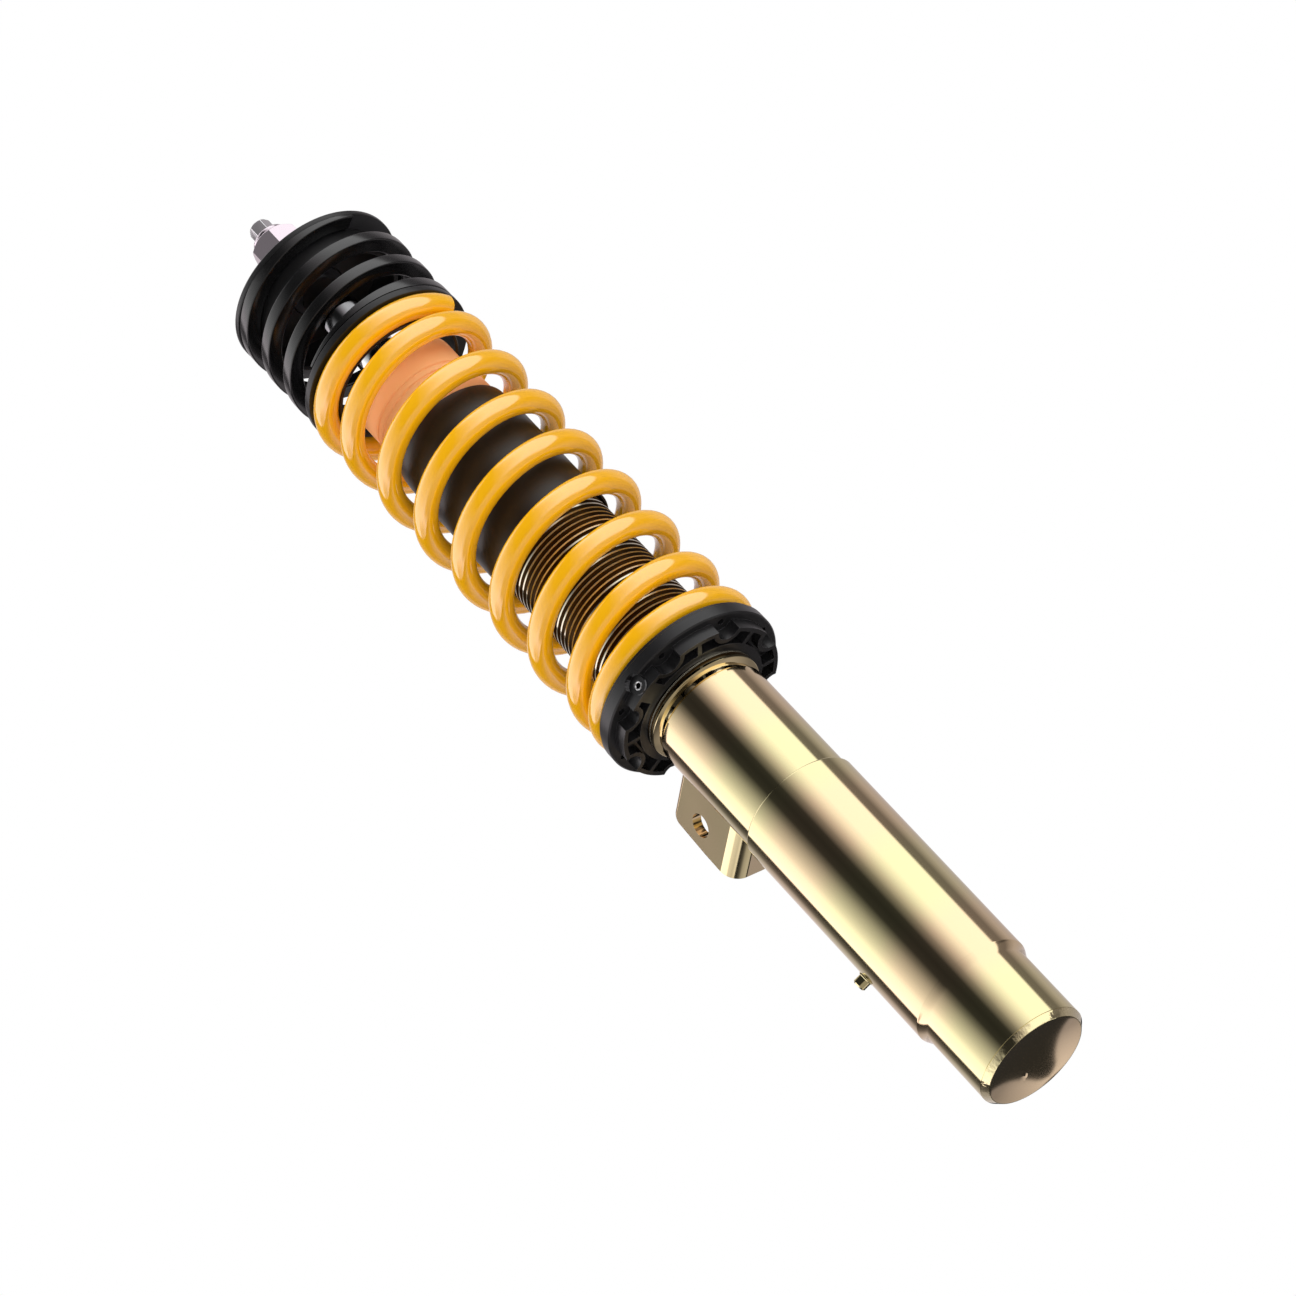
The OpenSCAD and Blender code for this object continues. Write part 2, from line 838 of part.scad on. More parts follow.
module dust_boot() {
    shoulder_r = 28.7;
    inner_r = boot_r - boot_t;
    color([0.1, 0.1, 0.1])
        rotate_extrude()
            polygon([
                [boot_neck_r, boot_top_z],
                [shoulder_r - 1, boot_top_z],
                [shoulder_r, boot_top_z - 1],
                [boot_r, boot_top_z - 13],
                [boot_r, boot_rim_z + 1],
                [boot_r - 0.4, boot_rim_z],
                [inner_r, boot_rim_z],
                [inner_r, boot_top_z - 14],
                [shoulder_r - boot_t, boot_top_z - boot_roof_t - 1],
                [shoulder_r - boot_t - 1, boot_top_z - boot_roof_t],
                [boot_neck_r, boot_top_z - boot_roof_t]
            ]);
}

module support_washer() {
    color("silver")
        ring(washer_r, stud_r, stud_foot_z, stud_foot_z + washer_t);
}

module pivot_bush() {
    color("silver")
        ring(pivot_r, stud_r, stud_foot_z + washer_t, nut_flange_z);
}

module top_nut() {
    flange_r = 14.2;
    ring_r = 9;
    hex_top = nut_hex_z + nut_hex_h;
    corner_r = nut_af / 2 / cos(30);
    color("silver")
        difference() {
            union() {
                translate([0, 0, nut_flange_z])
                    cylinder(r = flange_r, h = 1.2);
                translate([0, 0, nut_flange_z + 1.2])
                    cylinder(r1 = flange_r, r2 = nut_af / 2, h = nut_flange_t - 1.2);
                intersection() {
                    rotate([0, 0, 11.5 + 30])
                        hexagon(nut_af, nut_flange_z + 1, hex_top);
                    rotate_extrude()
                        polygon([
                            [0, nut_flange_z],
                            [corner_r + 1, nut_flange_z],
                            [corner_r + 1, hex_top - 3],
                            [nut_af / 2 - 0.5, hex_top],
                            [0, hex_top]
                        ]);
                }
                translate([0, 0, hex_top])
                    cylinder(r1 = ring_r, r2 = ring_r - 1, h = nut_ring_h);
            }
            translate([0, 0, nut_flange_z - cut])
                cylinder(r = stud_r, h = 30);
        }
}

strut_tube();
base_cap();
link_bracket();
locating_peg();
inner_cylinder();
base_valve();
rod_guide();
guide_bush();
rod_seal();
gland_cap();
main_spring();
slip_ring();
adjuster_collar();
clamp_screw();
clamp_pad();
spring_spacer();
upper_spring_seat();
helper_spring();
piston_rod();
piston();
piston_band();
rebound_shims();
compression_shims();
piston_nut();
rebound_stop();
bump_stop();
dust_boot();
support_washer();
pivot_bush();
top_nut();
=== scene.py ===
"""Coilover strut: every piece in its finished shape and material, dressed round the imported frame.

The dataclasses hold lengths in millimetres and angles in degrees. mm() turns a length into metres
where a mesh is made.
"""

import json
import logging
import math
from contextlib import contextmanager
from dataclasses import dataclass
from enum import Enum
from typing import Callable, Iterator, Optional, Sequence, Union

import bpy
from mathutils import Matrix, Vector


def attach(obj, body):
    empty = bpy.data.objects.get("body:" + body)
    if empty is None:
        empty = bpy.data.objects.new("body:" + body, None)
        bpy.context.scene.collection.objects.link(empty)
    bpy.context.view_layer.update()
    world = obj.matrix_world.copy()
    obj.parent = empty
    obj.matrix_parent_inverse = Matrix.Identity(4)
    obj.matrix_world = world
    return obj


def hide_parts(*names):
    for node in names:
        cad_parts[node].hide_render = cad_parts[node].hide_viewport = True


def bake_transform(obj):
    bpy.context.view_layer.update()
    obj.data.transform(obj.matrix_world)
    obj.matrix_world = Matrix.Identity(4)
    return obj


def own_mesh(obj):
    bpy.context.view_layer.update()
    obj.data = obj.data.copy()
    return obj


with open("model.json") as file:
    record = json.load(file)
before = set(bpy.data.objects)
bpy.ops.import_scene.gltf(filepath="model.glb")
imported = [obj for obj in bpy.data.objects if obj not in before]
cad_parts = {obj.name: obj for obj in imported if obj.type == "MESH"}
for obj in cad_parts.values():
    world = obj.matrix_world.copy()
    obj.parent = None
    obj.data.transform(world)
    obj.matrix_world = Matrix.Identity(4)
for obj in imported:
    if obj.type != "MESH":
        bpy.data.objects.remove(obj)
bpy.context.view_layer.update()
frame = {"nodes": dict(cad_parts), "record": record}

log = logging.getLogger("coilover")

Point2 = tuple[float, float]
Point3 = tuple[float, float, float]
Colour = tuple[float, float, float]
Stops = Sequence[tuple[float, Colour]]
Feeds = dict[Union[str, int], object]
Object = bpy.types.Object
Face = bpy.types.MeshPolygon
Socket = bpy.types.NodeSocket

IMAGE_PX = 1296
SENSOR_MM = 36.0
FULL_TURN = 2 * math.pi
SMOOTH_ANGLE = math.radians(32)
MERGE_MM = 0.002
WAVE_SCALE = FULL_TURN / 20
BAND_PHASE = 2.4
FLAT = 0.9995


def mm(value: float) -> float:
    """A length in millimetres, as metres."""
    return value * 0.001


def grey(tone: float) -> Colour:
    """A colour without hue."""
    return (tone, tone, tone)


def heading(turn: float) -> Vector:
    """The direction away from the strut's axis, at an angle in degrees round it."""
    return Vector((math.cos(math.radians(turn)), math.sin(math.radians(turn)), 0))


def rotation(angle: float, axis: str) -> Matrix:
    """A rotation by an angle in degrees."""
    return Matrix.Rotation(math.radians(angle), 4, axis)


def outward(turn: float) -> Matrix:
    """The rotation that lays an upright piece along the heading of turn."""
    return rotation(turn, "Z") @ rotation(90, "Y")


class Body(str, Enum):
    """The bodies of the frame that the pieces ride on."""

    STRUT = "strut"
    CARRIAGE = "spring_carriage"
    COLLAR = "collar"
    SPACER = "spacer"
    SEAT = "upper_seat"
    ROD = "rod"
    BUMP = "bump_guard"


class Slot(str, Enum):
    """The record's material slots."""

    ZINC = "zinc"
    STEEL = "plain_steel"
    IRON = "sintered_iron"
    BRONZE = "bronze"
    RUBBER = "black_rubber"
    YELLOW = "yellow_powder_coat"
    COMPOSITE = "black_composite"
    BLACK_STEEL = "black_coated_steel"
    CHROME = "hard_chrome"
    PTFE = "brown_ptfe"
    BRIGHT_ZINC = "bright_zinc"
    FOAM = "peach_foam"


# ---- materials ----


class Graph:
    """A node tree that is put together a node at a time."""

    def __init__(self, tree: bpy.types.NodeTree) -> None:
        """Takes the tree that the nodes go into."""
        self.tree = tree

    def feed(self, target: Socket, value: object) -> None:
        """Joins value to target where it is a socket, or else makes it the target's own value."""
        if isinstance(value, Socket):
            self.tree.links.new(value, target)
        else:
            target.default_value = value

    def node(self, kind: str, feeds: Optional[Feeds] = None, **settings: object) -> bpy.types.Node:
        """Adds a node.

        Args:
            kind: the node's type.
            feeds: what goes into its inputs, by their names or numbers.
            settings: the node's own properties.

        Returns:
            The new node.
        """
        made = self.tree.nodes.new(kind)
        for key, value in settings.items():
            setattr(made, key, value)
        for key, value in (feeds or {}).items():
            self.feed(made.inputs[key], value)
        return made

    def maths(self, operation: str, *values: object) -> Socket:
        """The outcome of an operation on sockets and plain numbers."""
        made = self.node("ShaderNodeMath", dict(enumerate(values)), operation=operation)
        return made.outputs[0]

    def mixed(self, kind: str, share: Socket, first: object, second: object) -> Socket:
        """The first colour where share is 0, and both joined by kind where it is 1."""
        feeds = {0: share, 6: first, 7: second}
        return self.node("ShaderNodeMix", feeds, data_type="RGBA", blend_type=kind).outputs[2]

    def step(self, value: Socket, start: float, end: float) -> Socket:
        """A smooth rise from 0 where value is start to 1 where it is end."""
        feeds = {"Value": value, "From Min": start, "From Max": end}
        made = self.node("ShaderNodeMapRange", feeds, interpolation_type="SMOOTHSTEP")
        return made.outputs["Result"]

    def ramp(self, source: Socket, stops: Stops) -> Socket:
        """A colour ramp read by source.

        Args:
            source: a socket with values from 0 to 1.
            stops: place and colour of every stop, in order.

        Returns:
            The ramp's colour socket.
        """
        made = self.node("ShaderNodeValToRGB", {"Fac": source})
        elements = made.color_ramp.elements
        while len(elements) < len(stops):
            elements.new(1.0)
        for element, (place, colour) in zip(elements, stops):
            element.position = place
            element.color = (*colour, 1.0)
        return made.outputs["Color"]


class Shader(Graph):
    """A material with one Principled shader, which is put together a socket at a time."""

    def __init__(self, name: str) -> None:
        """Starts the material."""
        self.material = bpy.data.materials.new(name)
        self.material.use_nodes = True
        super().__init__(self.material.node_tree)
        self.bsdf = self.tree.nodes["Principled BSDF"]
        self.place = self.node("ShaderNodeTexCoord").outputs["Object"]

    def set(self, **values: object) -> "Shader":
        """Sets sockets of the Principled shader by name, with _ for a space.

        Returns:
            The shader itself, so that calls can follow each other.
        """
        for key, value in values.items():
            self.bsdf.inputs[key.replace("_", " ")].default_value = value
        return self

    def noise(self, scale: float, detail: float = 3.0) -> Socket:
        """Noise on object coordinates.

        Args:
            scale: how many features stand in a metre.
            detail: number of finer layers.

        Returns:
            The noise's value socket.
        """
        feeds = {"Vector": self.place, "Scale": scale, "Detail": detail}
        return self.node("ShaderNodeTexNoise", feeds).outputs["Fac"]

    def bands(self, period_mm: float) -> Socket:
        """Soft bands across the object's height, a little bent."""
        feeds = {
            "Vector": self.place,
            "Scale": WAVE_SCALE / mm(period_mm),
            "Phase Offset": BAND_PHASE,
            "Distortion": 0.7,
            "Detail Scale": 3.0,
        }
        return self.node("ShaderNodeTexWave", feeds, bands_direction="Z").outputs["Fac"]

    def tint(self, source: Socket, stops: Stops) -> None:
        """Colours the surface with a ramp."""
        self.feed(self.bsdf.inputs["Base Color"], self.ramp(source, stops))

    def roughen(self, source: Socket, low: float, high: float) -> None:
        """Varies the roughness between low and high."""
        made = self.node("ShaderNodeMapRange", {"To Min": low, "To Max": high, "Value": source})
        self.feed(self.bsdf.inputs["Roughness"], made.outputs["Result"])

    def bump(self, source: Socket, strength: float, depth_mm: float) -> None:
        """Raises the surface by source, depth_mm high at most, on top of any bump before it."""
        feeds = {"Strength": strength, "Distance": mm(depth_mm), "Height": source}
        normal = self.bsdf.inputs["Normal"]
        if normal.is_linked:
            feeds["Normal"] = normal.links[0].from_socket
        self.feed(normal, self.node("ShaderNodeBump", feeds).outputs["Normal"])

    def crown(self, slope: Point3) -> None:
        """Makes the surface fall away by slope, in metres per metre along each axis."""
        feeds = {0: self.place, 1: tuple(-part for part in slope)}
        fall = self.node("ShaderNodeVectorMath", feeds, operation="DOT_PRODUCT")
        self.bump(fall.outputs["Value"], 1.0, 1000.0)


@dataclass(frozen=True)
class MetalFinish:
    """A bare or plated metal, of two tones that drift over each other under a fine grain.

    Where lean is set, the surface is crowned: it falls away along that direction. Where bands_mm
    is set, the tones change along the height with that period, as a plating's thickness does.
    """

    name: str
    colour: Colour
    drift: Colour
    roughness: float
    grain: float = 900.0
    grain_depth: float = 0.004
    lean: Point3 = (0.0, 0.0, 0.0)
    metallic: float = 1.0
    bands_mm: float = 0.0

    def build(self) -> bpy.types.Material:
        """Makes the material."""
        shader = Shader(self.name).set(Metallic=self.metallic)
        if self.bands_mm:
            source, low, high = shader.bands(self.bands_mm), 0.2, 0.8
        else:
            source, low, high = shader.noise(14.0, 2.0), 0.35, 0.65
        shader.tint(source, [(low, self.colour), (high, self.drift)])
        shader.roughen(shader.noise(60.0), self.roughness * 0.85, self.roughness * 1.2)
        if any(self.lean):
            shader.crown(self.lean)
        shader.bump(shader.noise(self.grain, 2.0), 0.35, self.grain_depth)
        return shader.material


@dataclass(frozen=True)
class CoatFinish:
    """A pigmented coat under a clear, glossy skin. Its emission field is painted light: the coat
    emits its own colour, so it looks brighter than the lamps alone make it.
    """

    name: str
    colour: Colour
    shade: Colour
    coat_roughness: float = 0.1
    coat_ior: float = 1.9
    painted_glow: float = 0.0

    def build(self) -> bpy.types.Material:
        """Makes the material, with the faint orange peel of a sprayed coat."""
        shader = Shader(self.name).set(
            Coat_Weight=1.0,
            Coat_Roughness=self.coat_roughness,
            Coat_IOR=self.coat_ior,
            Specular_IOR_Level=0.0,
            # Painted light: the emission lifts the coat's colour, though the coat is no lamp.
            Emission_Color=(*self.colour, 1.0),
            Emission_Strength=self.painted_glow,
        )
        shader.tint(shader.noise(30.0, 2.0), [(0.3, self.shade), (0.7, self.colour)])
        shader.roughen(shader.noise(90.0), 0.5, 0.6)
        shader.bump(shader.noise(260.0, 1.0), 0.08, 0.02)
        return shader.material


@dataclass(frozen=True)
class PolymerFinish:
    """Moulded plastic, rubber or foam."""

    name: str
    colour: Colour
    shade: Colour
    roughness: float
    grain: float = 700.0
    grain_depth: float = 0.02
    subsurface: float = 0.0

    def build(self) -> bpy.types.Material:
        """Makes the material: mottled colour, uneven sheen and a fine moulded grain."""
        shader = Shader(self.name)
        shader.set(Subsurface_Weight=self.subsurface, Subsurface_Scale=mm(2.0))
        shader.tint(shader.noise(45.0, 4.0), [(0.3, self.shade), (0.7, self.colour)])
        low, high = self.roughness * 0.88, min(1.0, self.roughness * 1.12)
        shader.roughen(shader.noise(120.0), low, high)
        shader.bump(shader.noise(self.grain * 3, 3.0), 0.5, self.grain_depth)
        return shader.material


Finish = Union[MetalFinish, CoatFinish, PolymerFinish]

FINISHES = {
    Slot.ZINC: MetalFinish(
        "yellow_zinc_plate", (0.885, 0.69, 0.43), (0.82, 0.725, 0.41), 0.085, bands_mm=75.0
    ),
    # Very dark steel; on the clamp screw it paints the shade inside the socket.
    Slot.STEEL: MetalFinish("dark_steel_and_socket_shade", (0.1, 0.1, 0.105), (0.075, 0.075, 0.08), 0.3),
    Slot.IRON: MetalFinish("sintered_iron", (0.16, 0.16, 0.17), (0.2, 0.2, 0.2), 0.5),
    Slot.BRONZE: MetalFinish("bearing_bronze", (0.62, 0.38, 0.18), (0.66, 0.43, 0.22), 0.3),
    Slot.CHROME: MetalFinish("ground_chrome", (0.8, 0.8, 0.82), (0.78, 0.78, 0.8), 0.07),
    Slot.BRIGHT_ZINC: MetalFinish(
        "bright_zinc_plate", (0.72, 0.63, 0.69), (0.69, 0.6, 0.66), 0.1
    ),
    # The yellow's last number is a painted emission that brightens it.
    Slot.YELLOW: CoatFinish(
        "gloss_yellow_coat", (0.98, 0.49, 0.003), (0.95, 0.47, 0.002), 0.07, 2.45, 0.11
    ),
    Slot.BLACK_STEEL: CoatFinish(
        "gloss_black_coat", (0.006, 0.006, 0.0063), (0.004, 0.004, 0.0042), 0.2, 1.75
    ),
    Slot.RUBBER: PolymerFinish(
        "black_boot_rubber", (0.016, 0.0125, 0.0105), (0.012, 0.009, 0.008), 0.36
    ),
    Slot.COMPOSITE: PolymerFinish(
        "black_moulding", (0.0115, 0.0115, 0.012), (0.0085, 0.0085, 0.009), 0.32
    ),
    Slot.PTFE: PolymerFinish("filled_ptfe", (0.12, 0.08, 0.05), (0.1, 0.07, 0.045), 0.45),
    Slot.FOAM: PolymerFinish(
        "peach_foam", (1.0, 0.56, 0.255), (0.99, 0.54, 0.24), 0.62, 420.0, 0.012, 0.1
    ),
}

# Paler metal for the thread's crest flats: a painted highlight.
THREAD_CREST_HIGHLIGHT = MetalFinish(
    "thread_crest", (0.82, 0.77, 0.6), (0.76, 0.7, 0.54), 0.12, metallic=0.85
)
# Near-black metal for the thread's flanks and roots: painted shade in the grooves.
THREAD_FLANK_SHADE = MetalFinish(
    "thread_flank_painted_shade", (0.06, 0.036, 0.014), (0.045, 0.026, 0.01), 0.3
)
CAP_DISH = MetalFinish("drawn_zinc", (0.98, 0.785, 0.53), (0.96, 0.775, 0.51), 0.1)
CAP_RIM = MetalFinish(
    "burnished_zinc", (0.84, 0.725, 0.42), (0.82, 0.725, 0.41), 0.09, 420.0, 0.65, (0.0, 0.0, 1.1)
)
# The web's own zinc tone, tuned for how the web catches the light: a painted reflection on top of
# its crown bump.
WEB_CROWN_AND_SHEEN = MetalFinish(
    "pressed_zinc_and_painted_sheen", (0.92, 0.79, 0.36), (1.0, 0.76, 0.38), 0.11, lean=(-0.2, 0.28, 0.0)
)
FLANGE_CROWN = MetalFinish(
    "bent_zinc_plate", (0.86, 0.7, 0.45), (0.86, 0.68, 0.47), 0.1, lean=(-0.14, 0.0, 0.0)
)
# Ground steel made brighter than steel is, for the clamp screw's rim: partly a painted highlight.
SCREW_RIM_HIGHLIGHT = MetalFinish("screw_rim_steel_and_highlight", (0.98, 0.98, 0.99), (0.94, 0.94, 0.95), 0.12)
ROD_DRIVE = MetalFinish(
    "ground_drive", (0.8, 0.8, 0.82), (0.76, 0.76, 0.78), 0.12, lean=(0.09, 0.0, 0.0)
)
# Darker chrome where the rod shows between the helper coils: painted shade.
ROD_WINDOW_SHADE = MetalFinish(
    "chrome_painted_shade", (0.3, 0.3, 0.31), (0.26, 0.26, 0.27), 0.13, lean=(0.0, 0.0, -0.34)
)
# A lighter moulding for the collar's downward bevels: a painted edge highlight.
MOULD_EDGE_HIGHLIGHT = PolymerFinish("moulding_painted_edge_highlight", (0.13, 0.13, 0.134), (0.1, 0.1, 0.103), 0.22)
# A lighter zinc for the nut's upward faces: a painted highlight.
NUT_CROWN_HIGHLIGHT = MetalFinish("nut_crown_painted_highlight", (1.0, 0.92, 0.98), (0.97, 0.88, 0.95), 0.32)
SEAT_CEILING = PolymerFinish("seat_ceiling", (0.035, 0.035, 0.037), (0.028, 0.028, 0.03), 0.5)


class Palette:
    """The built materials, one for each slot."""

    def __init__(self) -> None:
        """Builds every finish once."""
        self.materials = {slot: finish.build() for slot, finish in FINISHES.items()}

    def dress(self, obj: Object, slot: Slot) -> None:
        """Gives an object one material all over."""
        obj.data.materials.clear()
        obj.data.materials.append(self.materials[slot])

    def accent(self, obj: Object, finish: Finish, chosen: Callable[[Face], bool]) -> None:
        """Gives another finish to the chosen faces."""
        obj.data.materials.append(finish.build())
        for face in obj.data.polygons:
            if chosen(face):
                face.material_index = len(obj.data.materials) - 1

    def dress_nodes(self) -> None:
        """Gives each CAD node the material of its record slot."""
        for part in frame["record"]["subparts"]:
            self.dress(frame["nodes"][part["node"]], Slot(part["material_slot"]))


# ---- modelling tools ----


def add_object(name: str, data: bpy.types.ID) -> Object:
    """Puts a mesh, a curve, a lamp or a camera into the scene."""
    obj = bpy.data.objects.new(name, data)
    bpy.context.scene.collection.objects.link(obj)
    return obj


def select_only(obj: Object) -> None:
    """Makes obj the only selected and the active object."""
    bpy.ops.object.select_all(action="DESELECT")
    obj.select_set(True)
    bpy.context.view_layer.objects.active = obj


@contextmanager
def editing(obj: Object, everything: bool = True) -> Iterator[None]:
    """Opens a mesh for editing, with everything selected or the selection as it was."""
    select_only(obj)
    bpy.ops.object.mode_set(mode="EDIT")
    if everything:
        bpy.ops.mesh.select_all(action="SELECT")
    yield
    bpy.ops.object.mode_set(mode="OBJECT")


def cut(height: float, **settings: bool) -> None:
    """Cuts the mesh that is being edited at a height in millimetres.

    Args:
        height: where the cut lies.
        settings: which side goes, and whether the cut is filled, in the words of mesh.bisect.
    """
    bpy.ops.mesh.select_all(action="SELECT")
    bpy.ops.mesh.bisect(plane_co=(0, 0, mm(height)), plane_no=(0, 0, 1), **settings)


def apply_modifier(obj: Object, kind: str, **settings: object) -> None:
    """Adds a modifier with its settings and applies it."""
    select_only(obj)
    modifier = obj.modifiers.new(kind.lower(), kind)
    for key, value in settings.items():
        setattr(modifier, key, value)
    bpy.ops.object.modifier_apply(modifier=modifier.name)


def break_edges(
    obj: Object, width: float, segments: int, sharp: float, **settings: object
) -> None:
    """Bevels the edges sharper than an angle in degrees, width millimetres wide."""
    limit = {"limit_method": "ANGLE", "angle_limit": math.radians(sharp)}
    apply_modifier(obj, "BEVEL", width=mm(width), segments=segments, **limit, **settings)


def smooth(obj: Object, weighted: bool = False, angle: float = SMOOTH_ANGLE) -> None:
    """Smooths the shading, except over edges sharper than angle.

    Args:
        obj: the piece.
        weighted: whether large faces keep their shading flat beside narrow broken edges.
        angle: the sharpest edge that is smoothed, in radians.
    """
    select_only(obj)
    bpy.ops.object.shade_smooth_by_angle(angle=angle)
    if weighted:
        apply_modifier(obj, "WEIGHTED_NORMAL", keep_sharp=True, weight=80)


def clean(obj: Object) -> None:
    """Merges doubled points and turns all faces outwards."""
    with editing(obj):
        bpy.ops.mesh.remove_doubles(threshold=mm(MERGE_MM))
        bpy.ops.mesh.normals_make_consistent(inside=False)


def outline_object(name: str, outline: Sequence[Point2], closed: bool) -> Object:
    """A wire of radius and height points in the plane y = 0.

    Args:
        name: the object's name.
        outline: (radius, height) points in millimetres.
        closed: whether the last point joins the first.

    Returns:
        The new object.
    """
    edges = [(i, i + 1) for i in range(len(outline) - 1)]
    if closed:
        edges.append((len(outline) - 1, 0))
    mesh = bpy.data.meshes.new(name)
    mesh.from_pydata([(mm(r), 0.0, mm(z)) for r, z in outline], edges, [])
    return add_object(name, mesh)


def lathe(name: str, outline: Sequence[Point2], steps: int = 160) -> Object:
    """Spins an outline round the strut's axis.

    Args:
        name: the piece's name.
        outline: (radius, height) points in millimetres, closed to a ring if off the axis.
        steps: number of faces round the axis.

    Returns:
        The turned piece.
    """
    obj = outline_object(name, outline, closed=outline[0][0] > 0)
    with editing(obj):
        bpy.ops.mesh.spin(steps=steps, angle=FULL_TURN, center=(0, 0, 0), axis=(0, 0, 1))
    clean(obj)
    smooth(obj, weighted=True)
    return obj


def arc(centre: Point2, radius: float, start: float, end: float, steps: int) -> list[Point2]:
    """Points on an arc of an outline, from the angle start to end in degrees."""
    angles = [math.radians(start + (end - start) * i / steps) for i in range(steps + 1)]
    x, y = centre
    return [(x + radius * math.cos(a), y + radius * math.sin(a)) for a in angles]


def rounded_rectangle(width: float, height: float, radius: float) -> list[Point2]:
    """Outline of a rectangle with rounded corners, round its own centre."""
    x, y = width / 2 - radius, height / 2 - radius
    corners = (((x, y), 0), ((-x, y), 90), ((-x, -y), 180), ((x, -y), 270))
    return [p for centre, start in corners for p in arc(centre, radius, start, start + 90, 4)]


def coil_point(radius: float, turn: float, height: float) -> Vector:
    """A point in metres from its radius, its angle round the axis and its height."""
    a = math.radians(turn)
    return Vector((mm(radius) * math.cos(a), mm(radius) * math.sin(a), mm(height)))


def poly_curve(name: str, points: Sequence[Point3], dimensions: str) -> Object:
    """A curve object of straight runs through points in metres."""
    curve = bpy.data.curves.new(name, "CURVE")
    curve.dimensions = dimensions
    spline = curve.splines.new("POLY")
    spline.points.add(len(points) - 1)
    for point, place in zip(spline.points, points):
        point.co = (*place, 1.0)
    return add_object(name, curve)


def sweep(
    name: str,
    points: Sequence[Vector],
    wire_radius: float = 0.0,
    profile: Optional[Sequence[Point2]] = None,
) -> Object:
    """Sweeps a round wire or a flat profile along points, with closed ends.

    Args:
        name: the piece's name.
        points: the centre line, in metres.
        wire_radius: radius of a round wire, in millimetres.
        profile: corner points of a flat wire, in millimetres, in place of wire_radius.

    Returns:
        The swept mesh.
    """
    helper = None
    obj = poly_curve(name, points, "3D")
    curve = obj.data
    curve.twist_mode = "Z_UP"
    curve.use_fill_caps = True
    if profile:
        helper = poly_curve(name + "_profile", [(mm(x), mm(y), 0.0) for x, y in profile], "2D")
        helper.data.splines[0].use_cyclic_u = True
        curve.bevel_mode = "OBJECT"
        curve.bevel_object = helper
    else:
        curve.bevel_depth = mm(wire_radius)
        curve.bevel_resolution = 10
    select_only(obj)
    bpy.ops.object.convert(target="MESH")
    if helper:
        bpy.data.objects.remove(helper)
    clean(obj)
    smooth(obj)
    return obj


def round_edges(obj: Object, picks: Callable[[Vector], bool], width: float) -> None:
    """Rounds the edges whose two points are picked.

    Args:
        obj: the piece.
        picks: whether a point, in metres, belongs to the edges.
        width: width of the rounding in millimetres.
    """
    points, edges = obj.data.vertices, obj.data.edges
    picked = [e.index for e in edges if all(picks(points[i].co) for i in e.vertices)]
    with editing(obj):
        bpy.ops.mesh.select_all(action="DESELECT")
        bpy.ops.mesh.select_mode(type="EDGE")
    for index in picked:
        obj.data.edges[index].select = True
    with editing(obj, everything=False):
        bpy.ops.mesh.bevel(offset=mm(width), segments=4, affect="EDGES")
        bpy.ops.mesh.select_mode(type="VERT")


def softened(
    node: str,
    name: str,
    width: float,
    broad: Optional[Callable[[Vector], bool]] = None,
    cuts: Sequence[float] = (),
) -> Object:
    """A copy of a CAD node with broken edges, as a moulding or a machined part has them.

    Args:
        node: the CAD node.
        name: the new piece's name.
        width: width of the broken edges in millimetres.
        broad: picks the points whose edges are rounded four times as wide.
        cuts: heights in millimetres at which the faces are divided.

    Returns:
        The new piece.
    """
    obj = add_object(name, frame["nodes"][node].data.copy())
    with editing(obj):
        bpy.ops.mesh.remove_doubles(threshold=mm(0.005))
        bpy.ops.mesh.customdata_custom_splitnormals_clear()
        bpy.ops.mesh.dissolve_limited(angle_limit=math.radians(0.6))
    if broad is not None:
        round_edges(obj, broad, 4 * width)
    break_edges(obj, width, 2, 28, miter_outer="MITER_ARC")
    with editing(obj):
        for height in cuts:
            cut(height)
    smooth(obj, weighted=True)
    return obj


def fit(obj: Object, body: Body, slot: Slot, palette: Palette, *nodes: str) -> Object:
    """Dresses a piece, makes it ride on its body and hides the nodes that it stands for."""
    palette.dress(obj, slot)
    if nodes:
        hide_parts(*nodes)
    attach(obj, body.value)
    log.info("%s rides on %s: %d faces", obj.name, body.value, len(obj.data.polygons))
    return obj


# ---- strut ----


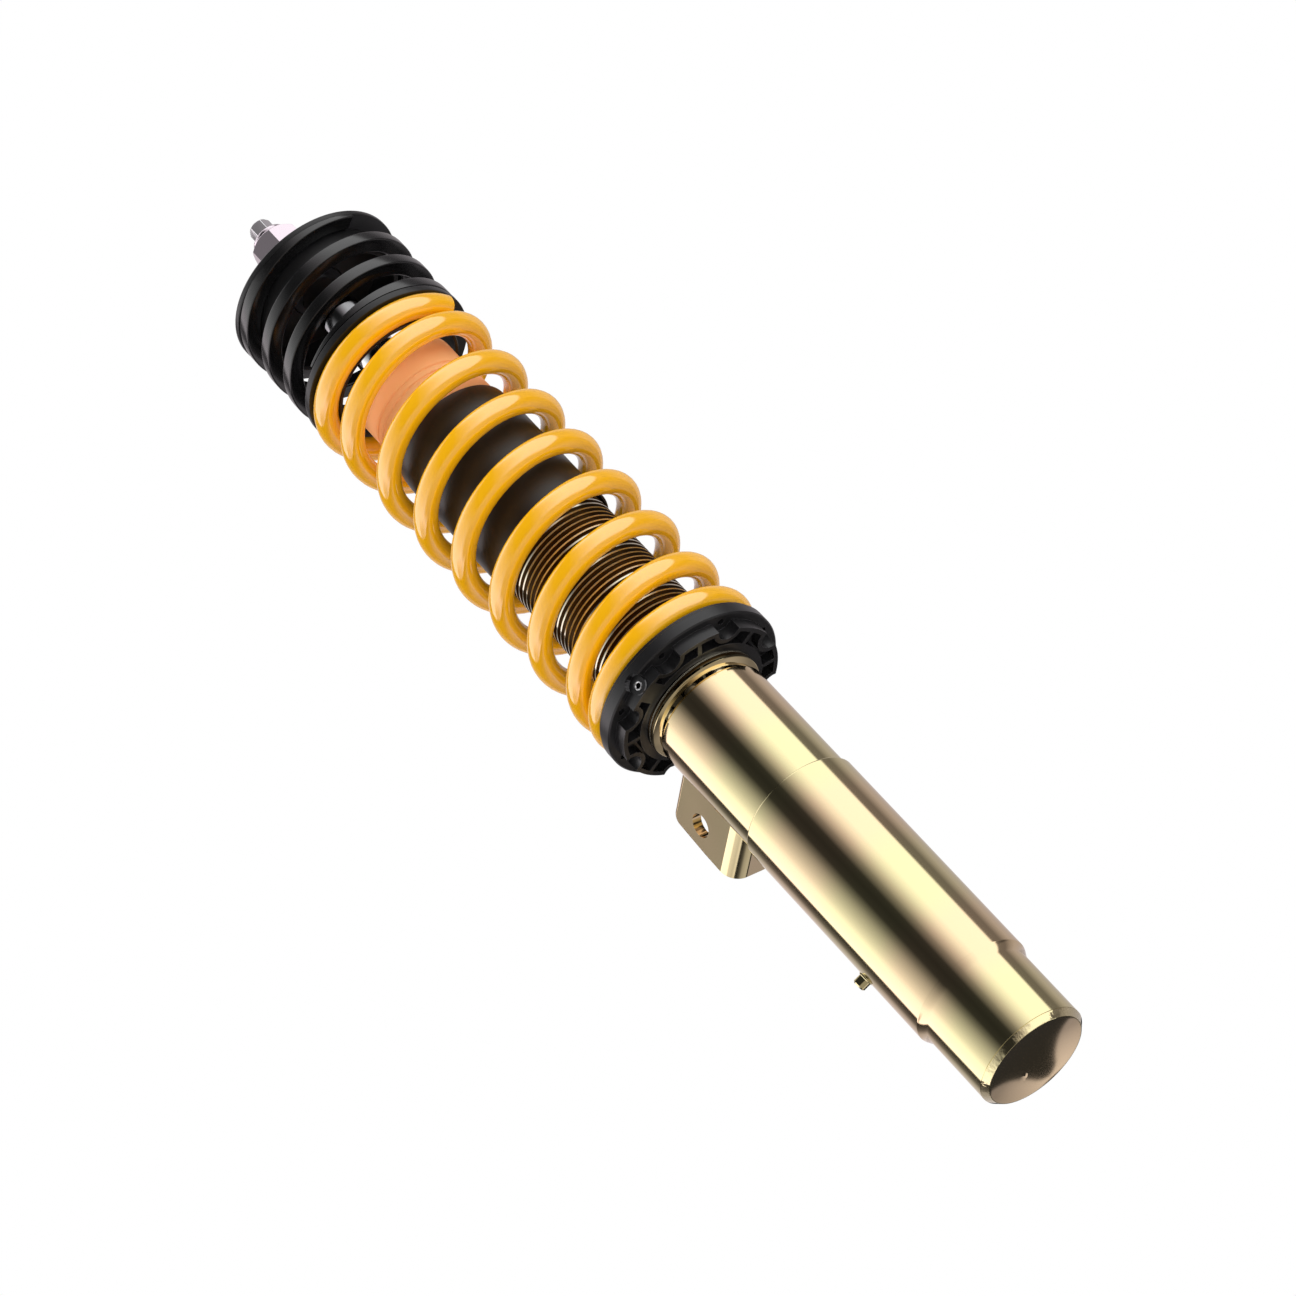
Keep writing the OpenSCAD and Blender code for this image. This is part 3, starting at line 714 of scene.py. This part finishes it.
@dataclass
class StrutTube:
    """The plated damper tube with its rolled thread, end cap, bracket and peg."""

    spigot_r: float = 25.4
    clamp_r: float = 27.5
    tube_r: float = 26.2
    thread_r: float = 27.4
    thread_depth: float = 0.9
    pitch: float = 2.8
    bore_r: float = 23.0
    foot_z: float = -78.3
    foot_chamfer: float = 2.6
    foot_face_r: float = 23.2
    clamp_foot_z: float = -37.3
    clamp_top_z: float = 76.6
    shoulder: float = 4.0
    relief_z: float = 137.3
    relief_r: float = 24.9
    thread_foot_z: float = 141.9
    land: float = 1.4
    top_z: float = 259.7
    cap_height: float = 9.0
    dish_depth: float = 2.6
    mark_at: Point2 = (-7.2, 7.6)
    mark_ball: float = 6.0
    mark_depth: float = 0.22
    peg_turn: float = 176.0
    peg_r: float = 2.95
    peg_heel: float = 25.0
    peg_reach: float = 32.0
    peg_chamfer: float = 0.6
    peg_root_r: float = 3.6
    peg_root_reach: float = 27.9
    bracket_turn: float = 125.7
    bracket_face: float = 15.0
    bracket_top_z: float = 133.3
    bracket_edge: float = 0.45

    @property
    def dish_r(self) -> float:
        """Radius of the cap's dish."""
        return self.foot_face_r - 0.4

    def build(self, palette: Palette) -> None:
        """Builds the tube's pieces."""
        fit(self.tube(), Body.STRUT, Slot.ZINC, palette, "strut_tube")
        thread = fit(self.thread(), Body.STRUT, Slot.ZINC, palette)
        land_z, crest_r = mm(self.thread_foot_z + self.land), mm(self.thread_r - 0.3)
        # Painted highlight and shade: the crest flats take a paler metal for their highlight, and
        # the flanks and roots a near-black one for the shade in the grooves.
        palette.accent(thread, THREAD_CREST_HIGHLIGHT, lambda face: face.center.z > land_z)
        palette.accent(
            thread,
            THREAD_FLANK_SHADE,
            lambda face: abs(face.normal.z) > 0.3 or face.center.xy.length < crest_r,
        )
        cap = fit(self.cap(), Body.STRUT, Slot.ZINC, palette, "base_cap")
        face_r, rim_z = mm(self.foot_face_r - 0.3), mm(self.foot_z + self.foot_chamfer)
        palette.accent(cap, CAP_DISH, lambda face: face.center.xy.length <= face_r)
        palette.accent(
            cap,
            CAP_RIM,
            lambda face: face.center.xy.length > face_r
            and face.center.z < rim_z
            and face.normal.z > -0.99,
        )
        fit(self.peg(), Body.STRUT, Slot.ZINC, palette, "locating_peg")
        web = heading(self.bracket_turn + 90)
        edge_reach, edge_z = mm(self.bracket_face - 0.05), mm(self.bracket_top_z - 5.1)
        bracket = softened(
            "link_bracket",
            "link_bracket_pressing",
            self.bracket_edge,
            broad=lambda point: point.dot(web) > edge_reach and point.z > edge_z,
        )
        fit(bracket, Body.STRUT, Slot.ZINC, palette, "link_bracket")
        # The web's faces take a retuned copy of the zinc: a painted reflection, with a crown bump.
        palette.accent(bracket, WEB_CROWN_AND_SHEEN, lambda face: face.normal.dot(web) > FLAT)
        palette.accent(bracket, FLANGE_CROWN, lambda face: face.normal.z < -FLAT)

    def tube(self) -> Object:
        """The turned tube, whose wall under the thread is the thread's core."""
        foot, low, high = self.foot_z + self.foot_chamfer, self.clamp_foot_z, self.clamp_top_z
        relief, land, land_top = self.relief_z, self.thread_foot_z, self.thread_foot_z + self.land
        core = self.thread_r - self.thread_depth - 0.15
        outline = [
            (self.bore_r, foot), (self.spigot_r - 0.3, foot), (self.spigot_r, foot + 0.3),
            (self.spigot_r, low - self.shoulder), (self.clamp_r - 0.15, low - 0.3),
            (self.clamp_r, low + 0.2), (self.clamp_r, high - 0.8), (self.clamp_r - 0.45, high),
            (self.tube_r, high), (self.tube_r, relief - 0.2), (self.tube_r - 0.2, relief),
            (self.relief_r, relief + 1.3), (self.relief_r, land - 1.2),
            (self.thread_r - 0.25, land - 0.1), (self.thread_r, land + 0.2),
            (self.thread_r, land_top), (core, land_top + 0.6),
            (core, self.top_z), (self.bore_r, self.top_z),
        ]
        return lathe("strut_tube_turned", outline, steps=192)

    def thread(self) -> Object:
        """The rolled thread, one profile carried up the helix and cut square at both ends."""
        crest, valley, flank = 0.28 * self.pitch, 0.1 * self.pitch, 0.42 * self.pitch
        root, edge_r, edge_z = self.thread_r - self.thread_depth, self.thread_r - 0.12, 0.06
        start = self.thread_foot_z + 0.5 * self.land - 0.5 * self.pitch
        turns = math.ceil((self.top_z - start) / self.pitch) + 1
        profile = [
            (root, start), (root, start + valley), (edge_r, start + flank - edge_z),
            (self.thread_r, start + flank), (self.thread_r, start + flank + crest),
            (edge_r, start + flank + crest + edge_z), (root, start + self.pitch),
        ]
        obj = outline_object("strut_thread", profile, closed=False)
        apply_modifier(
            obj,
            "SCREW",
            angle=FULL_TURN,
            screw_offset=mm(self.pitch),
            iterations=turns,
            steps=96,
            render_steps=96,
            use_merge_vertices=True,
            merge_threshold=mm(MERGE_MM),
        )
        with editing(obj):
            cut(self.thread_foot_z + 0.5 * self.land, clear_inner=True)
            cut(self.top_z - 0.2, clear_outer=True)
        clean(obj)
        smooth(obj)
        return obj

    def dish_z(self, radius: float) -> float:
        """Height of the cap's dished face at a radius."""
        ball = (self.dish_r**2 + self.dish_depth**2) / (2 * self.dish_depth)
        return self.foot_z + self.dish_depth - ball + math.sqrt(ball**2 - radius**2)

    def cap(self) -> Object:
        """The spun base cap: a burnished rim round a dished face with a punched mark."""
        z, step, wall = self.foot_z, self.foot_z + self.foot_chamfer, self.bore_r - 0.05
        top, face_r = z + self.cap_height, self.foot_face_r
        outline = [(0, top), (wall, top), (wall, step), (self.spigot_r, step)]
        outline += [(face_r, z + 0.08), (face_r - 0.15, z)]
        radii = [self.dish_r * i / 20 for i in range(20, -1, -1)]
        obj = lathe("base_cap_spun", outline + [(r, self.dish_z(r)) for r in radii])
        self.punch(obj)
        return obj

    def punch(self, cap: Object) -> None:
        """Sinks the punched mark into the cap's dish."""
        x, y = self.mark_at
        z = self.dish_z(math.hypot(x, y)) + self.mark_depth - self.mark_ball
        bpy.ops.mesh.primitive_uv_sphere_add(
            segments=64, ring_count=48, radius=mm(self.mark_ball), location=(mm(x), mm(y), mm(z))
        )
        punch = bpy.context.object
        smooth(punch)
        apply_modifier(cap, "BOOLEAN", object=punch, operation="DIFFERENCE", solver="EXACT")
        bpy.data.objects.remove(punch)
        smooth(cap, angle=math.radians(14))

    def peg(self) -> Object:
        """The locating peg, turned lengthwise and set into the tube's side."""
        r, root, heel, collar = self.peg_r, self.peg_root_r, self.peg_heel, self.peg_root_reach
        tip, chamfer = self.peg_reach, self.peg_chamfer
        outline = [
            (0, heel), (root, heel), (root, collar - 0.25), (root - 0.2, collar), (r, collar),
            (r, tip - chamfer), (r - chamfer, tip), (0, tip),
        ]
        obj = lathe("locating_peg_turned", outline, steps=48)
        obj.data.transform(outward(self.peg_turn))
        return obj


# ---- springs ----


@dataclass
class MainSpring:
    """The round-wire main spring with its flattened end coils."""

    wire_r: float = 5.45
    coil_r: float = 38.1
    pitch: float = 28.5
    foot_z: float = 158.84
    head_z: float = 379.5
    first_turn: float = 6.0
    ease: float = 200.0
    tip_start: float = -208.0
    tip_past: float = 5.0
    steps_per_turn: int = 60

    @property
    def rise(self) -> float:
        """Degrees that the steady slope takes from foot to head."""
        return (self.head_z - self.foot_z - 2 * self.wire_r) / self.pitch * 360

    def eased(self, angle: float) -> float:
        """Height above the lower dead coil, eased out of it."""
        slope = self.pitch / 360
        run = angle - (self.first_turn - self.ease)
        if run <= 0:
            return 0.0
        if run >= 2 * self.ease:
            return slope * (angle - self.first_turn)
        return slope * run * run / (4 * self.ease)

    def height(self, angle: float) -> float:
        """Height of the wire's centre at an angle in degrees."""
        low, high = self.foot_z + self.wire_r, self.head_z - self.wire_r
        if angle < self.first_turn + self.rise / 2:
            return low + self.eased(angle)
        return high - self.eased(2 * self.first_turn + self.rise - angle)

    def build(self, palette: Palette) -> None:
        """Winds the wire in its place between the carriage and the spacer."""
        tip_end = self.first_turn + self.rise + self.ease + self.tip_past
        span = tip_end - self.tip_start
        steps = round(span / 360 * self.steps_per_turn)
        angles = [self.tip_start + span * i / steps for i in range(steps + 1)]
        points = [coil_point(self.coil_r, angle, self.height(angle)) for angle in angles]
        obj = sweep("main_spring_wound", points, self.wire_r)
        palette.dress(obj, Slot.YELLOW)
        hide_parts("main_spring")
        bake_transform(obj)
        log.info("%s: %d faces", obj.name, len(obj.data.polygons))


@dataclass
class HelperSpring:
    """The flat-wire helper spring, its end coils ground flat."""

    outer_r: float = 42.0
    width: float = 7.5
    height: float = 6.0
    corner: float = 0.8
    pitch: float = 17.35
    foot_z: float = 383.7
    head_z: float = 437.1
    turns: float = 3.25
    mid_turn: float = -261.0
    closing: float = 22.0
    steps_per_turn: int = 90

    def build(self, palette: Palette) -> None:
        """Winds the wire, grinds its ends and makes it ride on the seat."""
        mid_z = (self.foot_z + self.head_z) / 2
        radius = self.outer_r - self.width / 2
        steps = round(self.turns * self.steps_per_turn)
        shares = [self.turns * (i / steps - 0.5) for i in range(steps + 1)]
        points = [
            coil_point(radius, self.mid_turn + 360 * share, mid_z + self.pitch * share)
            for share in shares
        ]
        profile = rounded_rectangle(self.width, self.height, self.corner)
        obj = sweep("helper_spring_wound", points, profile=profile)
        with editing(obj):
            cut(self.foot_z, use_fill=True, clear_inner=True)
            cut(self.head_z, use_fill=True, clear_outer=True)
        clean(obj)
        smooth(obj)
        fit(obj, Body.SEAT, Slot.BLACK_STEEL, palette, "helper_spring")
        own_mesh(obj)


# ---- collar, spacer and seat ----


@dataclass
class HeightCollar:
    """The moulded height collar with its clamp screw."""

    edge: float = 0.4
    rim_r: float = 43.4
    boss_turn: float = -111.0
    boss_z: float = 149.8
    pad_reach: float = 32.0
    screw_r: float = 2.15
    screw_reach: float = 40.5
    screw_round: float = 0.5
    socket_depth: float = 2.2

    def build(self, palette: Palette) -> None:
        """Builds the collar's pieces."""
        collar = softened("adjuster_collar", "adjuster_collar_moulding", self.edge)
        fit(collar, Body.COLLAR, Slot.COMPOSITE, palette, "adjuster_collar")
        inner = mm(self.rim_r - 1.5)
        # Painted highlight: the downward bevels inside the rim take a lighter moulding.
        palette.accent(
            collar,
            MOULD_EDGE_HIGHLIGHT,
            lambda face: -0.98 < face.normal.z < -0.2 and face.center.xy.length < inner,
        )
        # The screw's socket is dark steel, which is painted shade, and its rim a brighter steel,
        # which is partly a painted highlight.
        screw = fit(self.screw(), Body.COLLAR, Slot.STEEL, palette, "clamp_screw")
        out, end = heading(self.boss_turn), mm(self.screw_reach - 0.58)
        palette.accent(screw, SCREW_RIM_HIGHLIGHT, lambda face: face.center.dot(out) > end)

    def screw(self) -> Object:
        """The clamp screw, with a rounded rim round its socket, which is turned as a round hole."""
        r, end, bend = self.screw_r, self.screw_reach, self.screw_round
        rim, floor = r - bend, end - self.socket_depth
        outline = [(0, self.pad_reach), (r, self.pad_reach), (r, end - bend)]
        outline += arc((rim, end - bend), bend, 0, 150, 10)
        outline += [(rim - 0.55, end - 0.6), (rim - 0.55, floor), (0, floor)]
        obj = lathe("clamp_screw_turned", outline, steps=48)
        lift = Matrix.Translation((0, 0, mm(self.boss_z)))
        obj.data.transform(lift @ outward(self.boss_turn))
        return obj


@dataclass
class Spacer:
    """The moulded spacer between the two springs."""

    sleeve_ri: float = 29.75
    foot_z: float = 379.8
    top_z: float = 383.4
    flange_r: float = 42.1
    lower_r: float = 31.4
    lower_reach: float = 8.4
    upper_r: float = 33.8
    upper_reach: float = 9.0

    def build(self, palette: Palette) -> None:
        """Turns the spacer."""
        ri, rim, foot, top = self.sleeve_ri, self.flange_r, self.foot_z, self.top_z
        lower, tail = self.lower_r, foot - self.lower_reach
        upper, head = self.upper_r, top + self.upper_reach
        outline = [
            (ri, tail + 0.2), (ri + 0.3, tail), (lower - 0.3, tail), (lower, tail + 0.4),
            (lower + 0.4, foot - 2), (lower + 0.8, foot - 0.3), (lower + 1.4, foot),
            (rim - 0.6, foot), (rim - 0.15, foot + 0.2), (rim, foot + 0.7),
            (rim, top - 0.7), (rim - 0.15, top - 0.2), (rim - 0.6, top),
            (upper + 0.5, top), (upper, top + 0.5), (upper, top + 6),
            (upper - 0.8, head - 0.3), (upper - 1.2, head), (ri + 0.3, head), (ri, head - 0.3),
        ]
        obj = lathe("spring_spacer_turned", outline)
        fit(obj, Body.SPACER, Slot.COMPOSITE, palette, "spring_spacer")


@dataclass
class UpperSeat:
    """The upper spring seat."""

    edge: float = 0.35
    ceiling_r: float = 32.0

    def build(self, palette: Palette) -> None:
        """Builds the seat."""
        obj = softened("upper_spring_seat", "upper_spring_seat_moulding", self.edge)
        fit(obj, Body.SEAT, Slot.COMPOSITE, palette, "upper_spring_seat")
        palette.accent(
            obj,
            SEAT_CEILING,
            lambda face: face.normal.z < -0.7 and face.center.xy.length < mm(self.ceiling_r),
        )


# ---- rod, bump stop and boot ----


@dataclass
class BumpGuard:
    """The foam bump stop and the dust boot that hangs on it."""

    bore_r: float = 10.15
    nose_r: float = 14.0
    nose_round: float = 2.5
    stop_r: float = 25.8
    stop_round: float = 2.4
    stop_top_z: float = 369.7
    stop_foot_z: float = 320.7
    groove_top_z: float = 349.7
    groove_foot_z: float = 346.0
    groove_depth: float = 0.7
    neck_r: float = 22.0
    neck_gap: float = 0.05
    boot_r: float = 29.4
    boot_wall: float = 1.3
    boot_top_z: float = 328.9
    boot_rim_z: float = 253.4
    roof: float = 1.5
    shoulder_r: float = 28.7

    def build(self, palette: Palette) -> None:
        """Builds both pieces."""
        fit(self.stop(), Body.BUMP, Slot.FOAM, palette, "bump_stop")
        fit(self.boot(), Body.BUMP, Slot.RUBBER, palette, "dust_boot")

    def stop(self) -> Object:
        """The foam stop, with its pair of fine grooves and rounded edges."""
        r, top, foot = self.stop_r, self.stop_top_z, self.stop_foot_z
        nose, bend, sunk = self.nose_round, self.stop_round, self.stop_r - self.groove_depth
        neck, gap, low = self.neck_r, self.neck_gap, self.groove_foot_z
        above, under = self.boot_top_z, self.boot_top_z - self.roof
        outline = [(self.bore_r, foot), (self.nose_r - 0.5, foot)]
        outline += arc((self.nose_r, foot + nose), nose, -90, -20, 5)
        outline += [
            (neck + 1.3, under - 1.6), (neck + 1.5, under - 1.2), (neck + 1.5, under - gap),
            (neck - gap, under - gap), (neck - gap, above + gap), (r + 0.4, above + gap),
            (r + 0.9, above + 0.5), (r + 1.1, above + 1.5), (r + 0.95, low - 8), (r + 0.7, low - 3),
        ]
        for groove in (self.groove_foot_z, self.groove_top_z):
            outline += [
                (r + 0.35, groove - 1.3), (r + 0.1, groove - 0.6), (sunk, groove - 0.15),
                (sunk, groove + 0.15), (r + 0.05, groove + 0.6), (r + 0.2, groove + 1.3),
            ]
        outline += [(r, self.groove_top_z + 3)]
        outline += arc((r - bend, top - bend), bend, 0, 90, 6)
        outline += [(self.bore_r, top)]
        return lathe("bump_stop_foam", outline)

    def boot(self) -> Object:
        """The boot: a thin tube with a firm shoulder and a rolled rim."""
        r, wall, top, rim = self.boot_r, self.boot_wall, self.boot_top_z, self.boot_rim_z
        neck, shoulder, roof = self.neck_r, self.shoulder_r, self.boot_top_z - self.roof
        outline = [(neck, top)]
        outline += arc((shoulder - 0.8, top - 0.8), 0.8, 90, 10, 5)
        outline += [(shoulder + 0.45, top - 6), (r, top - 14), (r, rim + 1.6)]
        outline += arc((r - wall / 2, rim + wall / 2), wall / 2, 0, -180, 8)
        outline += [
            (r - wall, rim + 1.6), (r - wall, top - 14), (shoulder - wall, roof - 1.5),
            (shoulder - wall - 0.8, roof), (neck, roof),
        ]
        return lathe("dust_boot_moulded", outline)


@dataclass
class PistonRod:
    """The chromed rod with its stud and hexagon drive, and the nut on it."""

    edge: float = 0.25
    window_z: Point2 = (396.0, 416.0)
    stud_r: float = 7.0
    stud_top_z: float = 478.5
    nut_z: float = 460.2
    nut_hex_z: float = 463.0
    nut_hex_h: float = 11.5
    nut_af: float = 22.0
    nut_turn: float = 41.5
    nut_edge: float = 0.35
    flange_r: float = 14.2
    ring_r: float = 8.9

    def build(self, palette: Palette) -> None:
        """Builds the rod and its nut."""
        rod = softened("piston_rod", "piston_rod_ground", self.edge, cuts=self.window_z)
        fit(rod, Body.ROD, Slot.CHROME, palette, "piston_rod")
        low, high = (mm(z) for z in self.window_z)
        # Painted shade: the rod between the helper coils is a darker chrome.
        palette.accent(
            rod, ROD_WINDOW_SHADE, lambda face: low < face.center.z < high and abs(face.normal.z) < 0.1
        )
        palette.accent(rod, ROD_DRIVE, lambda face: face.center.z > mm(self.stud_top_z))
        nut = fit(self.nut(), Body.ROD, Slot.BRIGHT_ZINC, palette, "top_nut")
        # Painted highlight: the nut's upward-facing crown takes a lighter zinc.
        palette.accent(nut, NUT_CROWN_HIGHLIGHT, lambda face: face.normal.z > 0.3)

    def nut(self) -> Object:
        """The flanged nut: a chamfered hexagon on a washer face, with a locking ring on top."""
        bore, foot, top = self.stud_r, self.nut_z, self.nut_hex_z + self.nut_hex_h
        flat, corner = self.nut_af / 2, self.nut_af / 2 / math.cos(math.pi / 6)
        flange, ring = self.flange_r, self.ring_r
        cone = [
            (bore, foot + 1.5), (corner + 0.5, foot + 1.5), (corner + 0.5, top - 3.4),
            (corner - 0.2, top - 3.0), (flat - 1.2, top - 0.3), (flat - 2.0, top), (bore, top),
        ]
        washer = [
            (bore, foot), (flange - 0.4, foot), (flange, foot + 0.4), (flange, foot + 0.9),
            (flange - 0.3, foot + 1.3), (flange - 1.6, foot + 2.0), (bore, foot + 2.2),
        ]
        lock = [
            (bore, top - 0.1), (ring, top - 0.1), (ring, top + 1.2),
            (ring - 0.4, top + 2.2), (ring - 1.3, top + 2.9), (bore, top + 3.0),
        ]
        body = lathe("top_nut_hexagon", cone, steps=96)
        self.hexed(body, corner, top)
        rings = lathe("top_nut_flange", washer, steps=96), lathe("top_nut_ring", lock, steps=96)
        select_only(body)
        for part in rings:
            part.select_set(True)
        bpy.ops.object.join()
        body.name = "top_nut_finished"
        return body

    def hexed(self, body: Object, corner: float, height: float) -> None:
        """Cuts a turned body to a hexagon and breaks its edges.

        Args:
            body: the turned body.
            corner: radius over the hexagon's corners, in millimetres.
            height: middle of the tool that cuts it, in millimetres.
        """
        bpy.ops.mesh.primitive_cylinder_add(
            vertices=6,
            radius=mm(corner),
            depth=mm(40),
            location=(0, 0, mm(height)),
            rotation=(0, 0, math.radians(self.nut_turn + 90)),
        )
        tool = bpy.context.object
        apply_modifier(body, "BOOLEAN", object=tool, operation="INTERSECT", solver="EXACT")
        bpy.data.objects.remove(tool)
        break_edges(body, self.nut_edge, 3, 25)
        smooth(body, weighted=True)


# ---- studio ----


@dataclass(frozen=True)
class Lamp:
    """A square lamp that faces the strut's middle and leaves no reflection of its own.

    Its place and size are in metres.
    """

    name: str
    place: Point3
    size: float
    watts: float

    def build(self) -> None:
        """Hangs the lamp."""
        data = bpy.data.lights.new(self.name, "AREA")
        data.size = self.size
        data.energy = self.watts
        obj = add_object(self.name, data)
        obj.location = Vector(self.place)
        toward = Vector((0, 0, 0.2)) - obj.location
        obj.rotation_euler = toward.to_track_quat("-Z", "Y").to_euler()
        obj.visible_glossy = False


@dataclass
class Studio:
    """White floor and surroundings, soft boxes at both sides, lamps and the camera.

    soft_box gives the surroundings' tone by the angle round the strut from the camera's side, and
    below is their colour under the horizon. By height, rear dims what lies behind the strut, and
    gap is the half width of the dark gap there. Heights and widths are those of a unit direction.
    """

    eye_mm: Point3 = (0.0, -1819.63, -926.15)
    elevation: float = 31.3576
    azimuth: float = -0.0295
    roll: float = 43.0
    focal_px: float = 5065.3
    floor_z: float = -2600.0
    floor_r: float = 9000.0
    floor_tone: float = 0.9
    soft_box: tuple[Point2, ...] = (
        (-180, 0.85), (-168, 0.8), (-156, 0.62), (-144, 0.5), (-132, 0.16), (-120, 0.05),
        (-115, 0.045), (-112.5, 1.8), (-96, 1.6), (-84, 1.4), (-72, 0.98), (-60, 0.68),
        (-48, 0.43), (-36, 0.175), (-26, 0.035), (-12, 0.025), (0, 0.035), (12, 0.25),
        (24, 0.67), (36, 1.07), (48, 1.38), (88, 1.4), (92, 0.2), (108, 0.18), (120, 0.36),
        (132, 0.48), (156, 0.5), (168, 0.58), (180, 0.85),
    )
    rear_tint: Colour = (1.0, 0.92, 0.95)
    side_tint: Colour = (1.0, 0.93, 0.95)
    below: Colour = (0.34, 0.312, 0.288)
    horizon: Point2 = (-0.72, -0.5)
    rear: tuple[Point2, ...] = (
        (-1.0, 0.9), (-0.745, 0.86), (-0.515, 0.56), (-0.4, 0.4), (-0.1, 0.35), (0.0, 1.0),
    )
    gap: tuple[Point2, ...] = (
        (-0.745, 0.0), (-0.73, 0.035), (-0.69, 0.06), (-0.515, 0.1),
        (-0.3, 0.14), (-0.1, 0.18), (0.3, 0.2), (0.45, 0.0),
    )
    gap_edge: Point2 = (0.88, 1.0)
    gap_tone: float = 0.027
    lamps: tuple[Lamp, ...] = (
        Lamp("key", (-1.4, -1.6, 1.9), 1.6, 26.0),
        Lamp("fill", (1.8, -1.2, 0.4), 1.6, 10.0),
        Lamp("under", (0.0, -1.3, -0.9), 1.2, 6.0),
    )

    def build(self) -> None:
        """Builds the whole studio."""
        bpy.context.scene.view_settings.view_transform = "Standard"
        self.camera()
        self.floor()
        self.world()
        for lamp in self.lamps:
            lamp.build()

    def camera(self) -> None:
        """The camera: low in front of the strut, looking up, and rolled."""
        data = bpy.data.cameras.new("camera")
        data.sensor_width = SENSOR_MM
        data.lens = self.focal_px * SENSOR_MM / IMAGE_PX
        data.clip_start = 0.05
        data.clip_end = 50.0
        obj = add_object("camera", data)
        aim = rotation(-self.azimuth, "Z") @ rotation(90 + self.elevation, "X")
        aim = aim @ rotation(-self.roll, "Z")
        obj.matrix_world = Matrix.Translation(Vector(self.eye_mm) * 0.001) @ aim
        bpy.context.scene.camera = obj

    def floor(self) -> None:
        """A wide pale floor, far below the held strut."""
        bpy.ops.mesh.primitive_circle_add(
            vertices=64,
            radius=mm(self.floor_r),
            fill_type="NGON",
            location=(0, 0, mm(self.floor_z)),
        )
        obj = bpy.context.object
        obj.name = "floor"
        paint = Shader("floor_paint").set(Roughness=0.9, Base_Color=(*grey(self.floor_tone), 1.0))
        feeds = {
            "Fac": paint.node("ShaderNodeLightPath").outputs["Is Camera Ray"],
            1: paint.bsdf.outputs["BSDF"],
            2: paint.node("ShaderNodeEmission").outputs["Emission"],
        }
        mix = paint.node("ShaderNodeMixShader", feeds)
        paint.feed(paint.tree.nodes["Material Output"].inputs["Surface"], mix.outputs["Shader"])
        obj.data.materials.append(paint.material)
        obj.visible_glossy = False

    def tinted(self, turn: float, tone: float) -> Colour:
        """The colour of a soft box, which is faintly pink behind the strut and on its right."""
        tint = grey(1.0)
        if abs(turn) > 91:
            tint = self.rear_tint
        elif 5 < turn < 30:
            tint = self.side_tint
        return tuple(tone * part for part in tint)

    @staticmethod
    def by_height(stops: Sequence[Point2]) -> Stops:
        """Ramp stops from tones by height, for a ramp that reads half the height plus a half."""
        return [(z / 2 + 0.5, grey(tone)) for z, tone in stops]

    def world(self) -> None:
        """Surroundings: white to the camera, and soft boxes with dark gaps to everything else."""
        world = bpy.data.worlds.new("studio")
        bpy.context.scene.world = world
        world.use_nodes = True
        world.node_tree.nodes.clear()
        sky = Graph(world.node_tree)
        look = sky.node("ShaderNodeTexCoord").outputs["Generated"]
        x, y, z = sky.node("ShaderNodeSeparateXYZ", {0: look}).outputs
        rise = sky.maths("ADD", sky.maths("MULTIPLY", z, 0.5), 0.5)
        angle = sky.maths("ARCTAN2", x, sky.maths("MULTIPLY", y, -1.0))
        share = sky.maths("ADD", sky.maths("DIVIDE", angle, FULL_TURN), 0.5)
        stops = [(turn / 360 + 0.5, self.tinted(turn, tone)) for turn, tone in self.soft_box]
        boxes = sky.ramp(share, stops)
        rearward = sky.maths("MAXIMUM", sky.maths("MULTIPLY", y, 4.0), 0.0)
        rearward = sky.maths("MINIMUM", rearward, 1.0)
        rear = sky.ramp(rise, self.by_height(self.rear))
        dimmed = sky.mixed("MULTIPLY", rearward, boxes, rear)
        behind = sky.maths("MULTIPLY", sky.maths("MAXIMUM", y, 0.0), 0.8)
        lit = sky.step(sky.maths("ADD", z, behind), *self.horizon)
        screens = sky.mixed("MIX", lit, (*self.below, 1.0), dimmed)
        width = sky.maths("MAXIMUM", sky.ramp(rise, self.by_height(self.gap)), 0.001)
        across = sky.maths("DIVIDE", sky.maths("ABSOLUTE", x), width)
        front = sky.maths("LESS_THAN", y, 0.0)
        outside = sky.step(sky.maths("ADD", across, front), *self.gap_edge)
        boxed = sky.mixed("MIX", outside, (*grey(self.gap_tone), 1.0), screens)
        studio = sky.node("ShaderNodeBackground", {"Color": boxed})
        white = sky.node("ShaderNodeBackground", {"Color": (*grey(1.0), 1.0)})
        path = sky.node("ShaderNodeLightPath").outputs
        seen = sky.maths("MAXIMUM", path["Is Camera Ray"], path["Is Transmission Ray"])
        feeds = {"Fac": seen, 1: studio.outputs[0], 2: white.outputs[0]}
        mix = sky.node("ShaderNodeMixShader", feeds)
        sky.node("ShaderNodeOutputWorld", {"Surface": mix.outputs[0]})


def main() -> None:
    """Builds the strut from the tube up, then the studio."""
    logging.basicConfig(level=logging.INFO, format="%(message)s")
    palette = Palette()
    palette.dress_nodes()
    lower = (StrutTube(), HeightCollar(), MainSpring(), Spacer())
    upper = (HelperSpring(), UpperSeat(), BumpGuard(), PistonRod())
    for assembly in lower + upper:
        assembly.build(palette)
    Studio().build()


if __name__ == "__main__":
    main()
